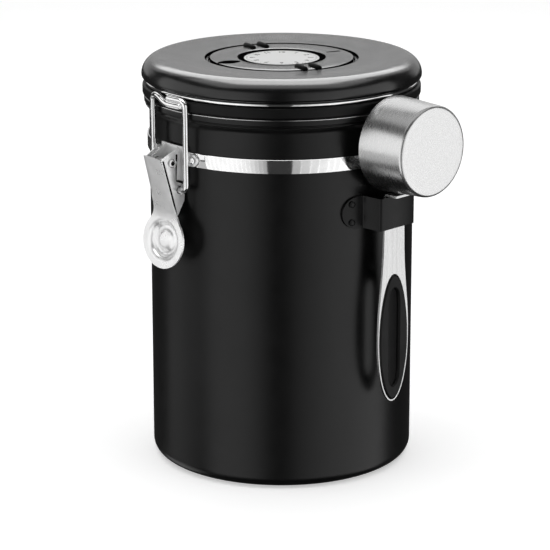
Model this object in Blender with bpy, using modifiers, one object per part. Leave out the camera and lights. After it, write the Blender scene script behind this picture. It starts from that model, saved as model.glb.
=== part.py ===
"""Coffee canister with a clamped lid, a date dial, a toggle latch and a scoop that hangs in a bracket.

Metres, +Z up. The origin is the middle of the base, on the surface that the canister stands on.
The latch faces -Y and the hinge +Y. A piece on the wall is modelled at the front, where outward is
-Y, and turned about Z to its own bearing, which runs from the latch towards +X.
"""

import math

import bmesh
import bpy
from mathutils import Matrix, Vector

# Clearances
SEAT_GAP = 0.0003
TURNING_GAP = 0.0004
PASSING_GAP = 0.0005
CUT_OVERRUN = 0.0020

# Canister body
BODY_RADIUS = 0.0600
BODY_WALL = 0.0008
BODY_CORNER = 0.0055
RIM_HEIGHT = 0.1690
RIM_OVERHANG = 0.0023
RIM_BAND = 0.0027
RIM_EDGE = 0.0005
BEAD_OVERHANG = 0.0019
BEAD_STEP = 0.0012
FLARE_LENGTH = 0.0036
HEM_INSET = 0.0014
HEM_DEPTH = 0.0035

# Neck band and what is fastened to it
BAND_DROP = 0.0178
BAND_WIDTH = 0.0062
BAND_THICKNESS = 0.0007
PLATE_THICKNESS = 0.0008
PLATE_MARGIN = 0.0003
RIVET_RADIUS = 0.0008
RIVET_HEAD_RADIUS = 0.0015
RIVET_HEAD_HEIGHT = 0.0006

# Latch anchor
ANCHOR_WING = 0.0158
ANCHOR_RIVET_OFFSET = 0.0130
ANCHOR_HALF_WIDTH = 0.0084
ANCHOR_RISE = 0.0022
ANCHOR_TAIL = 0.0038
ANCHOR_EAR_HALF_WIDTH = 0.0054
ANCHOR_EAR_THICKNESS = 0.0010
ANCHOR_EAR_RADIUS = 0.0031
ANCHOR_SIDE_GAP = 0.0005
PIVOT_REACH = 0.0047
PIVOT_DROP = 0.0015
PIN_RADIUS = 0.0011
PIN_HEAD_RADIUS = 0.0020
PIN_HEAD_HEIGHT = 0.0007
PIN_DIMPLE_RADIUS = 0.0009
PIN_DIMPLE_DEPTH = 0.0004

# Latch lever
LEVER_SHEET = 0.0010
LEVER_TILT = math.radians(15.5)
LEVER_FRONT_REACH = 0.0064
LEVER_FRONT_RISE = 0.0022
LEVER_CREST_RADIUS = 0.0047
LEVER_REAR = 0.0018
LEVER_BEND = 0.0030
LINK_PIVOT_INSET = 0.0036
LINK_PIVOT_DROP = 0.0124
LINK_EAR_RADIUS = 0.0030
DISC_DROP = 0.0338
DISC_REACH = 0.0006
DISC_TILT = math.radians(9)
DISC_RADIUS = 0.0146
DISC_RIM_WIDTH = 0.0041
DISC_NECK_HALF_WIDTH = 0.0092
DISC_DEPTH = 0.0025
DIMPLE_RADIUS = 0.0052
DIMPLE_SINK = 0.0013

# Latch link, a bent wire
LINK_WIRE_RADIUS = 0.00125
LINK_HALF_WIDTH = 0.0118
LINK_BEND = 0.0030
LINK_NEAR_END = 0.0032
LINK_FAR_END = 0.0100
LINK_FAR_END_DROP = 0.0028

# Lid
LID_OVERHANG = 0.0034
LID_SHEET = 0.0012
LID_CROWN = 0.0169
LID_SHOULDER_RADIUS = 0.0077
LID_LIP_HEIGHT = 0.0074
LID_DISH = 0.0009
LID_DISH_WIDTH = 0.0180

# Lid wire ring
RING_WIRE_RADIUS = 0.0008
RING_BEND = 0.0020
HOOK_WIRE_RADIUS = 0.0005
HOOK_NEAR = 0.0030
HOOK_FAR = 0.0060
HINGE_REACH = 0.0036
HINGE_LEG_OFFSET = 0.0068

# Hinge bracket
HINGE_HALF_WIDTH = 0.0052
HINGE_WING = 0.0118
HINGE_RIVET_OFFSET = 0.0086
HINGE_STAND_OFF = 0.0013
HINGE_STEP_LENGTH = 0.0040
HINGE_SEAT_SHARE = 0.75

# Gasket and lid liner
GASKET_THICKNESS = 0.0049
GASKET_OVERHANG = 0.0030
GASKET_INSET = 0.0031
GASKET_EDGE = 0.0012
LINER_NECK_INSET = 0.0002
LINER_PLUG_INSET = 0.0026
LINER_PLUG_DEPTH = 0.0045
LINER_EDGE = 0.0009
LINER_WALL = 0.0028
LINER_CEILING = 0.0042

# Gas valve
VALVE_RADIUS = 0.0142
VALVE_FLANGE_WIDTH = 0.0028
VALVE_FLANGE_THICKNESS = 0.0021
VALVE_WALL = 0.0016
VALVE_SEAT_THICKNESS = 0.0010
VALVE_SEAT_RISE = 0.0020
VALVE_VENT_RADIUS = 0.0012
VALVE_VENT_CIRCLE = 0.0055
VALVE_VENTS = 6
VALVE_DISC_RADIUS = 0.0095
VALVE_DISC_THICKNESS = 0.0008
VALVE_STEM_RADIUS = 0.0011
VALVE_KNOB_RADIUS = 0.0020
VALVE_KNOB_THICKNESS = 0.0006
VALVE_LIFT = 0.0008
VALVE_COVER_THICKNESS = 0.0010
VALVE_COVER_VENT_RADIUS = 0.0016
VALVE_COVER_VENT_CIRCLE = 0.0085

# Date dial
DIAL_MARGIN = 0.0289
DIAL_WELL_DEPTH = 0.0020
DIAL_GROOVE = 0.0018
DIAL_EDGE = 0.0003
RIB_RADIUS = 0.00145
RIB_LENGTH = 0.0105
RIB_SPACING = 0.0067
RIB_SINK = 0.0014
RIB_OVERHANG = 0.0008
RIB_BEARING = math.radians(75.5)
POINTER_BEARING = math.radians(-10.6)
POINTER_LENGTH = 0.0108
POINTER_HALF_WIDTH = 0.0031
POINTER_DEPTH = 0.0008
TAIL_LENGTH = 0.0070
TAIL_HALF_WIDTH = 0.0004
TAIL_DEPTH = 0.0005
BEZEL_INSET = 0.0148
BEZEL_WIDTH = 0.0030
BEZEL_RISE = 0.0006
BEZEL_LIP_WIDTH = 0.0008
BEZEL_LIP_DROP = 0.0008
FACE_SINK = 0.0005

# Scoop bracket
SCOOP_BEARING = math.radians(97.5)
BRACKET_DROP = 0.0123
BRACKET_HEIGHT = 0.0146
BRACKET_THICKNESS = 0.0008
BRACKET_TAB_REACH = 0.0105
BRACKET_RIVET_SETBACK = 0.0049
BRACKET_RIVET_SPACING = 0.0082

# Scoop
CUP_REACH = 0.0069
CUP_RIM_RADIUS = 0.0212
CUP_BASE_RADIUS = 0.0201
CUP_DEPTH = 0.0243
CUP_WALL = 0.0008
CUP_CORNER = 0.0018
HANDLE_SHEET = 0.0010
HANDLE_SETBACK = 0.0006
HANDLE_BEND = 0.0014
HANDLE_TOP_HALF_WIDTH = 0.0066
HANDLE_HALF_WIDTH = 0.0100
HANDLE_TAPER_DROP = 0.0150
HANDLE_TAPER_LENGTH = 0.0520
HANDLE_END_LENGTH = 0.0284
HANDLE_TAB_LENGTH = 0.0066
GRIP_FRAME = 0.0009
GRIP_UPPER_LENGTH = 0.0305
GRIP_THICKNESS = 0.0024
GRIP_EDGE = 0.0007
GRIP_SLOT_HALF_WIDTH = 0.0037
GRIP_SLOT_MARGIN = 0.0065
GRIP_SLOT_END = 0.0080

# The handle's taper: how far up it, and how much of the extra half width is left there
HANDLE_TAPER_SHARES = (
    (0.10, 0.99),
    (0.20, 0.93),
    (0.30, 0.80),
    (0.40, 0.62),
    (0.50, 0.44),
    (0.60, 0.28),
    (0.70, 0.15),
    (0.82, 0.06),
    (1.00, 0.00),
)

# The far end of the link: how far along it, and how much of its drop is reached there
LINK_END_SHARES = (
    (0.30, 0.36),
    (0.60, 0.94),
    (1.00, 1.00),
)

# The lever's neck: how much of its extra half width is left, and how many bend lengths above the disc
NECK_FLARE_SHARES = (
    (1.00, 0.00),
    (0.55, 0.35),
    (0.22, 0.80),
    (0.06, 1.40),
    (0.00, 2.20),
)

# The round corners where the neck meets the disc, as shares of the angle at which it leaves the disc
NECK_CORNER_SHARES = (0.60, 0.70, 0.80, 0.90)

# The finger disc's bowl: how far from the dimple to the bowl's edge, and how much of its depth
BOWL_SHARES = (
    (0.00, 0.90),
    (0.25, 1.00),
    (0.60, 0.80),
)
DIMPLE_FLAT_SHARE = 0.80

# The lever's side wall below the link: how far from its rear edge to its foot, and how far down
WALL_TAPER_SHARES = (
    (0.10, 0.42),
    (0.50, 0.72),
    (0.74, 0.90),
)

# The lid's dish: how far across it, and how much of its rise
DISH_SHARES = (
    (0.00, 0.00),
    (0.50, 0.50),
)

# Facets
BODY_STEPS = 44
DIAL_STEPS = 32
SMALL_STEPS = 20
HOLE_STEPS = 12
VENT_STEPS = 8
WIRE_RESOLUTION = 2
CREASE_ANGLE = math.radians(32)

# Places that follow from the sizes above
LEVER_OUTER = ANCHOR_EAR_HALF_WIDTH + ANCHOR_SIDE_GAP + LEVER_SHEET
BAND_TOP = RIM_HEIGHT - BAND_DROP
BAND_MIDDLE = BAND_TOP - BAND_WIDTH / 2
BAND_OUTER = BODY_RADIUS + SEAT_GAP + BAND_THICKNESS
PLATE_INNER = BAND_OUTER + SEAT_GAP
PLATE_OUTER = PLATE_INNER + PLATE_THICKNESS
PLATE_HEIGHT = BAND_WIDTH - 2 * PLATE_MARGIN
LID_RADIUS = BODY_RADIUS + LID_OVERHANG
LID_TOP = RIM_HEIGHT + LID_CROWN
LID_LIP = RIM_HEIGHT + LID_LIP_HEIGHT
RING_HEIGHT = LID_LIP - SEAT_GAP - RING_WIRE_RADIUS
NECK_RADIUS = BODY_RADIUS - LINER_NECK_INSET
RING_RADIUS = NECK_RADIUS + SEAT_GAP + RING_WIRE_RADIUS
GASKET_BOTTOM = RIM_HEIGHT + SEAT_GAP
GASKET_TOP = GASKET_BOTTOM + GASKET_THICKNESS
WELL_TOP = LID_TOP - LID_DISH
WELL_FLOOR = WELL_TOP - DIAL_WELL_DEPTH
LINER_TOP = WELL_FLOOR - LID_SHEET - SEAT_GAP
LINER_UNDERSIDE = LINER_TOP - LINER_CEILING
DIAL_BASE = WELL_FLOOR + SEAT_GAP
DIAL_WELL_RADIUS = LID_RADIUS - DIAL_MARGIN
DATE_RING_RADIUS = DIAL_WELL_RADIUS - DIAL_GROOVE
BEZEL_RADIUS = DIAL_WELL_RADIUS - BEZEL_INSET
FACE_RADIUS = BEZEL_RADIUS - BEZEL_WIDTH
PIVOT_RADIUS = PLATE_OUTER + PIVOT_REACH
PIVOT_HEIGHT = BAND_MIDDLE - PIVOT_DROP
LINK_PIVOT_RADIUS = PIVOT_RADIUS - LINK_PIVOT_INSET
LINK_PIVOT_HEIGHT = PIVOT_HEIGHT - LINK_PIVOT_DROP
HOOK_RADIUS = RING_RADIUS + RING_WIRE_RADIUS + SEAT_GAP + HOOK_WIRE_RADIUS
LINK_TOP_RADIUS = HOOK_RADIUS + HOOK_WIRE_RADIUS + SEAT_GAP + LINK_WIRE_RADIUS
LINK_TOP = RING_HEIGHT - RING_WIRE_RADIUS
HINGE_RADIUS = LID_RADIUS + HINGE_REACH
HINGE_EYE = RING_WIRE_RADIUS + TURNING_GAP + PLATE_THICKNESS / 2
CUP_RIM_REACH = BODY_RADIUS + CUP_REACH
HANDLE_INNER = CUP_RIM_REACH + HANDLE_SETBACK
HANDLE_MIDDLE = HANDLE_INNER + HANDLE_SHEET / 2
BRACKET_TOP = BAND_TOP - BAND_WIDTH - BRACKET_DROP
BRACKET_MIDDLE = BRACKET_TOP - BRACKET_HEIGHT / 2
TAB_MIDDLE = BRACKET_TOP + SEAT_GAP + HANDLE_SHEET / 2
CUP_HEIGHT = TAB_MIDDLE + HANDLE_SHEET / 2 + SEAT_GAP + CUP_RIM_RADIUS
HANDLE_WIDEST = BRACKET_TOP - HANDLE_TAPER_DROP - HANDLE_TAPER_LENGTH
BRACKET_HALF_WIDTH = HANDLE_HALF_WIDTH + PASSING_GAP + BRACKET_THICKNESS

# Curves and places in plan are (x, y). Side views are (distance out from the axis, height).
SIDE_VIEW = Matrix(((0, 0, -1, 0), (-1, 0, 0, 0), (0, 1, 0, 0), (0, 0, 0, 1)))
FRONT_VIEW = Matrix(((1, 0, 0, 0), (0, 0, -1, 0), (0, 1, 0, 0), (0, 0, 0, 1)))


def clear_scene():
    for obj in list(bpy.data.objects):
        bpy.data.objects.remove(obj, do_unlink=True)


def new_collection(name):
    collection = bpy.data.collections.new(name)
    bpy.context.scene.collection.children.link(collection)
    return collection


def new_material(name, colour, roughness, metallic):
    material = bpy.data.materials.new(name)
    material.use_nodes = True
    shader = material.node_tree.nodes["Principled BSDF"]
    shader.inputs["Base Color"].default_value = (*colour, 1)
    shader.inputs["Roughness"].default_value = roughness
    shader.inputs["Metallic"].default_value = metallic
    return material


def arc(centre, radius, start, end, count):
    """Points on an arc, from angle start to angle end."""
    points = []
    for index in range(count + 1):
        angle = start + (end - start) * index / count
        points.append((centre[0] + radius * math.cos(angle), centre[1] + radius * math.sin(angle)))
    return points


def half_ellipse(centre, half_width, length, start, end, count):
    points = []
    for index in range(count + 1):
        angle = start + (end - start) * index / count
        points.append((centre[0] + half_width * math.cos(angle), centre[1] + length * math.sin(angle)))
    return points


def offset_path(path, distance):
    """The path moved sideways by distance, to the right of its direction, with mitred corners."""
    points = [Vector(point) for point in path]
    moved = []
    for index, point in enumerate(points):
        before = (point - points[index - 1]).normalized() if index else None
        after = (points[index + 1] - point).normalized() if index + 1 < len(points) else None
        first = before or after
        second = after or before
        across = Vector((first.y + second.y, -first.x - second.x)).normalized()
        scale = distance / max(across.dot(Vector((first.y, -first.x))), math.cos(math.radians(60)))
        moved.append(tuple(point + across * scale))
    return moved


def strip_outline(path, thickness):
    """The closed outline of a bent strip of sheet whose middle line is the path."""
    return offset_path(path, thickness / 2) + offset_path(path, -thickness / 2)[::-1]


def shell_section(outer, wall):
    """The section of a turned shell. The outer line runs from the axis or the mouth down its outer side."""
    return outer + offset_path(outer, wall)[::-1]


def crossing(point, along, other, along_other):
    """Where two lines in a plane meet, each given by a point and a direction."""
    between = Vector(other) - Vector(point)
    across = Vector(along).cross(Vector(along_other))
    return Vector(point) + Vector(along) * (between.cross(Vector(along_other)) / across)


def mirrored(points):
    """An outline from its right half, whose points run from bottom to top."""
    return points + [(-x, y) for x, y in points[::-1] if x]


def finish_mesh(obj, material, collection):
    obj.data.materials.clear()
    obj.data.materials.append(material)
    if obj.name not in collection.objects:
        for owner in list(obj.users_collection):
            owner.objects.unlink(obj)
        collection.objects.link(obj)
    obj.data.shade_smooth()
    obj.data.set_sharp_from_angle(angle=CREASE_ANGLE)
    return obj


def turned(name, profile, steps, material, collection, place=None):
    """A solid turned about Z from a section of (radius, height) points."""
    mesh = bpy.data.meshes.new(name)
    edges = []
    for index in range(len(profile)):
        following = (index + 1) % len(profile)
        if profile[index][0] or profile[following][0]:
            edges.append((index, following))
    mesh.from_pydata([(radius, 0, height) for radius, height in profile], edges, [])
    obj = bpy.data.objects.new(name, mesh)
    collection.objects.link(obj)
    screw = obj.modifiers.new("turn", "SCREW")
    screw.steps = steps
    screw.render_steps = steps
    screw.use_merge_vertices = True
    screw.merge_threshold = 0.000001
    screw.use_smooth_shade = True
    obj.data.materials.append(material)
    if place is not None:
        obj.matrix_world = place
    return obj


def mesh_from_curve(curve_obj, name, collection):
    """A mesh object with the curve's evaluated shape, its caps welded to its sides."""
    graph = bpy.context.evaluated_depsgraph_get()
    mesh = bpy.data.meshes.new_from_object(curve_obj.evaluated_get(graph))
    work = bmesh.new()
    work.from_mesh(mesh)
    bmesh.ops.remove_doubles(work, verts=work.verts, dist=0.000001)
    bmesh.ops.recalc_face_normals(work, faces=work.faces)
    work.to_mesh(mesh)
    work.free()
    mesh.name = name
    obj = bpy.data.objects.new(name, mesh)
    obj.matrix_world = curve_obj.matrix_world
    collection.objects.link(obj)
    curve = curve_obj.data
    bpy.data.objects.remove(curve_obj, do_unlink=True)
    bpy.data.curves.remove(curve)
    return obj


def slab(name, outlines, thickness, place, material, collection):
    """A flat plate from an outline, with any further outlines as holes, as a mesh placed by a matrix."""
    curve = bpy.data.curves.new(name + "_outline", "CURVE")
    curve.dimensions = "2D"
    curve.fill_mode = "BOTH"
    curve.extrude = thickness / 2
    for outline in outlines:
        spline = curve.splines.new("POLY")
        spline.points.add(len(outline) - 1)
        for point, place_of in zip(spline.points, outline):
            point.co = (place_of[0], place_of[1], 0, 1)
        spline.use_cyclic_u = True
    curve_obj = bpy.data.objects.new(name + "_outline", curve)
    collection.objects.link(curve_obj)
    bpy.context.view_layer.update()
    obj = mesh_from_curve(curve_obj, name, collection)
    obj.data.transform(place)
    obj.data.update()
    return finish_mesh(obj, material, collection)


def wire(name, points, radius, cyclic, material, collection):
    """A round wire through the points, with filled ends where it isn't a ring."""
    curve = bpy.data.curves.new(name, "CURVE")
    curve.dimensions = "3D"
    curve.bevel_depth = radius
    curve.bevel_resolution = WIRE_RESOLUTION
    curve.use_fill_caps = True
    spline = curve.splines.new("POLY")
    spline.points.add(len(points) - 1)
    for point, place_of in zip(spline.points, points):
        point.co = (*place_of, 1)
    spline.use_cyclic_u = cyclic
    spline.use_smooth = True
    curve.materials.append(material)
    obj = bpy.data.objects.new(name, curve)
    collection.objects.link(obj)
    return obj


def rod(name, radius, length, place, steps, material, collection):
    """A plain cylinder about its own Z, centred on the place."""
    mesh = bpy.data.meshes.new(name)
    work = bmesh.new()
    bmesh.ops.create_cone(
        work,
        cap_ends=True,
        segments=steps,
        radius1=radius,
        radius2=radius,
        depth=length,
        matrix=place,
    )
    work.to_mesh(mesh)
    work.free()
    obj = bpy.data.objects.new(name, mesh)
    collection.objects.link(obj)
    return finish_mesh(obj, material, collection)


def combine(obj, other, operation, cutters):
    """Adds, cuts or intersects with another object, which becomes a hidden helper."""
    modifier = obj.modifiers.new(other.name, "BOOLEAN")
    modifier.operation = operation
    modifier.solver = "EXACT"
    modifier.object = other
    for owner in list(other.users_collection):
        owner.objects.unlink(other)
    cutters.objects.link(other)
    other.parent = obj
    other.matrix_parent_inverse = obj.matrix_world.inverted()
    other.hide_render = True
    other.display_type = "WIRE"


def bearing_turn(bearing):
    return Matrix.Rotation(bearing, 4, "Z")


def turn_to(objects, bearing):
    """Turns pieces that were modelled at the front to their own bearing."""
    for obj in objects:
        obj.matrix_world = bearing_turn(bearing) @ obj.matrix_world


def joint_empty(name, location, collection):
    empty = bpy.data.objects.new(name, None)
    empty.empty_display_size = PIN_HEAD_RADIUS
    empty.location = location
    collection.objects.link(empty)
    return empty


def carry(parent, objects):
    """Parents objects to a joint's empty and keeps them where they are."""
    bpy.context.view_layer.update()
    for obj in objects:
        obj.parent = parent
        obj.matrix_parent_inverse = parent.matrix_world.inverted()


def across(radius, height):
    """A place whose Z lies along X, at a distance out from the axis at the front."""
    return Matrix.Translation((0, -radius, height)) @ Matrix.Rotation(math.pi / 2, 4, "Y")


def outward_place(side, radius, height):
    """A place whose Z points out from the wall, at an arc length to the side of the front."""
    angle = side / radius
    stand = Matrix.Translation((radius * math.sin(angle), -radius * math.cos(angle), height))
    return stand @ Matrix.Rotation(angle, 4, "Z") @ Matrix.Rotation(math.pi / 2, 4, "X")


def sector(inner, outer, half_width, count=6):
    """A curved plate's outline in plan, at the front, of a half width measured along the arc."""
    half_angle = half_width / outer
    front = -math.pi / 2
    far = arc((0, 0), outer, front - half_angle, front + half_angle, count)
    near = arc((0, 0), inner, front + half_angle, front - half_angle, count)
    return far + near


def drill(obj, radius, circle, count, height, depth, cutters):
    """Cuts a ring of round holes about Z through the object."""
    mesh = bpy.data.meshes.new(obj.name + "_holes")
    work = bmesh.new()
    for index in range(count):
        turn = Matrix.Rotation(2 * math.pi * index / count, 4, "Z")
        bmesh.ops.create_cone(
            work,
            cap_ends=True,
            segments=VENT_STEPS,
            radius1=radius,
            radius2=radius,
            depth=depth + 2 * CUT_OVERRUN,
            matrix=turn @ Matrix.Translation((circle, 0, height)),
        )
    work.to_mesh(mesh)
    work.free()
    combine(obj, bpy.data.objects.new(obj.name + "_holes", mesh), "DIFFERENCE", cutters)


def rivet(name, side, radius, height, thickness, material, collection):
    """A domed rivet whose shank fills the hole of a plate, standing on the wall at this radius."""
    head_base = SEAT_GAP + thickness + SEAT_GAP
    crown = head_base + RIVET_HEAD_HEIGHT
    shoulder = head_base + RIVET_HEAD_HEIGHT / 2
    profile = [
        (0, crown),
        (RIVET_RADIUS, crown),
        (RIVET_HEAD_RADIUS, shoulder),
        (RIVET_HEAD_RADIUS, head_base),
        (RIVET_RADIUS, head_base),
        (RIVET_RADIUS, SEAT_GAP),
        (0, SEAT_GAP),
    ]
    return turned(
        name, profile, HOLE_STEPS, material, collection, outward_place(side, radius, height)
    )


def rivet_hole(name, side, radius, height, thickness, material, collection):
    place = outward_place(side, radius, height)
    length = 2 * (thickness + CUT_OVERRUN)
    return rod(name, RIVET_RADIUS + SEAT_GAP, length, place, HOLE_STEPS, material, collection)


def canister_body(material, collection):
    """A drawn can with a rounded foot and a flared rim that is rolled over and down inside."""
    rim_radius = BODY_RADIUS + RIM_OVERHANG
    rim_base = RIM_HEIGHT - RIM_BAND
    mouth = BODY_RADIUS - HEM_INSET
    flare_base = rim_base - BEAD_STEP - FLARE_LENGTH
    flare = []
    for index in range(3, -1, -1):
        share = index / 3
        flare.append(
            (BODY_RADIUS + BEAD_OVERHANG * share**2, flare_base + FLARE_LENGTH * share)
        )
    foot = BODY_RADIUS - BODY_CORNER
    outer = [
        (mouth, RIM_HEIGHT - HEM_DEPTH),
        (mouth, RIM_HEIGHT - RIM_EDGE),
        (mouth + RIM_EDGE, RIM_HEIGHT),
        (rim_radius - RIM_EDGE, RIM_HEIGHT),
        (rim_radius, RIM_HEIGHT - RIM_EDGE),
        (rim_radius, rim_base),
        (BODY_RADIUS + BEAD_OVERHANG - RIM_EDGE, rim_base - RIM_EDGE),
        *flare,
        *arc((foot, BODY_CORNER), BODY_CORNER, 0, -math.pi / 2, 5),
        (0, 0),
    ]
    inner = [
        (0, BODY_WALL),
        *arc((foot, BODY_CORNER), BODY_CORNER - BODY_WALL, -math.pi / 2, 0, 4),
        (BODY_RADIUS - BODY_WALL, flare_base),
        (BODY_RADIUS + BEAD_OVERHANG - RIM_EDGE - BODY_WALL, rim_base - RIM_EDGE),
        (rim_radius - BODY_WALL, rim_base + BODY_WALL),
        (rim_radius - BODY_WALL, RIM_HEIGHT - BODY_WALL),
        (mouth + BODY_WALL, RIM_HEIGHT - BODY_WALL),
        (mouth + BODY_WALL, RIM_HEIGHT - HEM_DEPTH),
    ]
    return turned("canister_body", outer + inner, BODY_STEPS, material, collection)


def neck_band(material, collection):
    inner = BODY_RADIUS + SEAT_GAP
    profile = [
        (BAND_OUTER, BAND_TOP),
        (BAND_OUTER, BAND_TOP - BAND_WIDTH),
        (inner, BAND_TOP - BAND_WIDTH),
        (inner, BAND_TOP),
    ]
    return turned("neck_band", profile, BODY_STEPS, material, collection)


def latch_anchor(material, collection, cutters):
    """A curved plate with two wings that are riveted to the band, and two ears that carry the lever."""
    top = BAND_TOP + ANCHOR_RISE
    bottom = LINK_PIVOT_HEIGHT + ANCHOR_TAIL
    half_band = PLATE_HEIGHT / 2
    blank_place = Matrix.Translation((0, 0, (top + bottom) / 2))
    blank_height = top - bottom + 2 * CUT_OVERRUN
    outline = sector(PLATE_INNER, PLATE_OUTER, ANCHOR_WING + CUT_OVERRUN, 8)
    obj = slab("latch_anchor", [outline], blank_height, blank_place, material, collection)
    wing = ANCHOR_WING - half_band
    right = [
        (ANCHOR_HALF_WIDTH - PLATE_MARGIN, bottom),
        (ANCHOR_HALF_WIDTH, bottom + PLATE_MARGIN),
        (ANCHOR_HALF_WIDTH, BAND_MIDDLE - half_band),
        *arc((wing, BAND_MIDDLE), half_band, -math.pi / 2, math.pi / 2, 6),
        (ANCHOR_HALF_WIDTH, BAND_MIDDLE + half_band),
        (ANCHOR_HALF_WIDTH, top - PLATE_MARGIN),
        (ANCHOR_HALF_WIDTH - PLATE_MARGIN, top),
    ]
    shape_place = Matrix.Translation((0, -PLATE_OUTER, 0)) @ FRONT_VIEW
    shape = slab("anchor_shape", [mirrored(right)], PLATE_OUTER, shape_place, material, collection)
    combine(obj, shape, "INTERSECT", cutters)
    pivot = (PIVOT_RADIUS, PIVOT_HEIGHT)
    ear_inner = ANCHOR_EAR_HALF_WIDTH - ANCHOR_EAR_THICKNESS
    plate_inner = math.sqrt(PLATE_INNER**2 - ear_inner**2)
    plate_outer = math.sqrt(PLATE_OUTER**2 - ANCHOR_EAR_HALF_WIDTH**2)
    root = (plate_inner + plate_outer) / 2
    tail = root + ANCHOR_EAR_RADIUS
    ear = [
        (root, top - PLATE_MARGIN),
        (root + PLATE_THICKNESS, top - PLATE_MARGIN),
        *arc(pivot, ANCHOR_EAR_RADIUS, math.radians(75), math.radians(-25), 7),
        (tail, bottom + PLATE_THICKNESS),
        (tail - PLATE_THICKNESS, bottom + PLATE_MARGIN),
        (root, bottom + PLATE_MARGIN),
    ]
    middle = ANCHOR_EAR_HALF_WIDTH - ANCHOR_EAR_THICKNESS / 2
    for name, side in (("ear_left", -middle), ("ear_right", middle)):
        place = Matrix.Translation((side, 0, 0)) @ SIDE_VIEW
        flap = slab(name, [ear], ANCHOR_EAR_THICKNESS, place, material, collection)
        combine(obj, flap, "UNION", cutters)
    bore = rod(
        "anchor_bore",
        PIN_RADIUS + SEAT_GAP,
        2 * ANCHOR_EAR_HALF_WIDTH + 2 * CUT_OVERRUN,
        across(*pivot),
        HOLE_STEPS,
        material,
        collection,
    )
    combine(obj, bore, "DIFFERENCE", cutters)
    for name, side in (("hole_left", -ANCHOR_RIVET_OFFSET), ("hole_right", ANCHOR_RIVET_OFFSET)):
        hole = rivet_hole(name, side, BAND_OUTER, BAND_MIDDLE, PLATE_THICKNESS, material, collection)
        combine(obj, hole, "DIFFERENCE", cutters)
    return obj


def latch_pin(material, collection):
    """The lever's pivot pin, with a dimpled head at both ends."""
    shank = LEVER_OUTER + SEAT_GAP
    end = shank + PIN_HEAD_HEIGHT
    half = [
        (0, end - PIN_DIMPLE_DEPTH),
        (PIN_DIMPLE_RADIUS, end - PIN_DIMPLE_DEPTH / 2),
        (PIN_DIMPLE_RADIUS + PIN_DIMPLE_DEPTH, end),
        (PIN_HEAD_RADIUS, end - PIN_DIMPLE_DEPTH),
        (PIN_HEAD_RADIUS, shank),
        (PIN_RADIUS, shank),
    ]
    profile = half + [(radius, -height) for radius, height in half[::-1]]
    place = across(PIVOT_RADIUS, PIVOT_HEIGHT)
    return turned("latch_pivot_pin", profile, HOLE_STEPS, material, collection, place)


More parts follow.
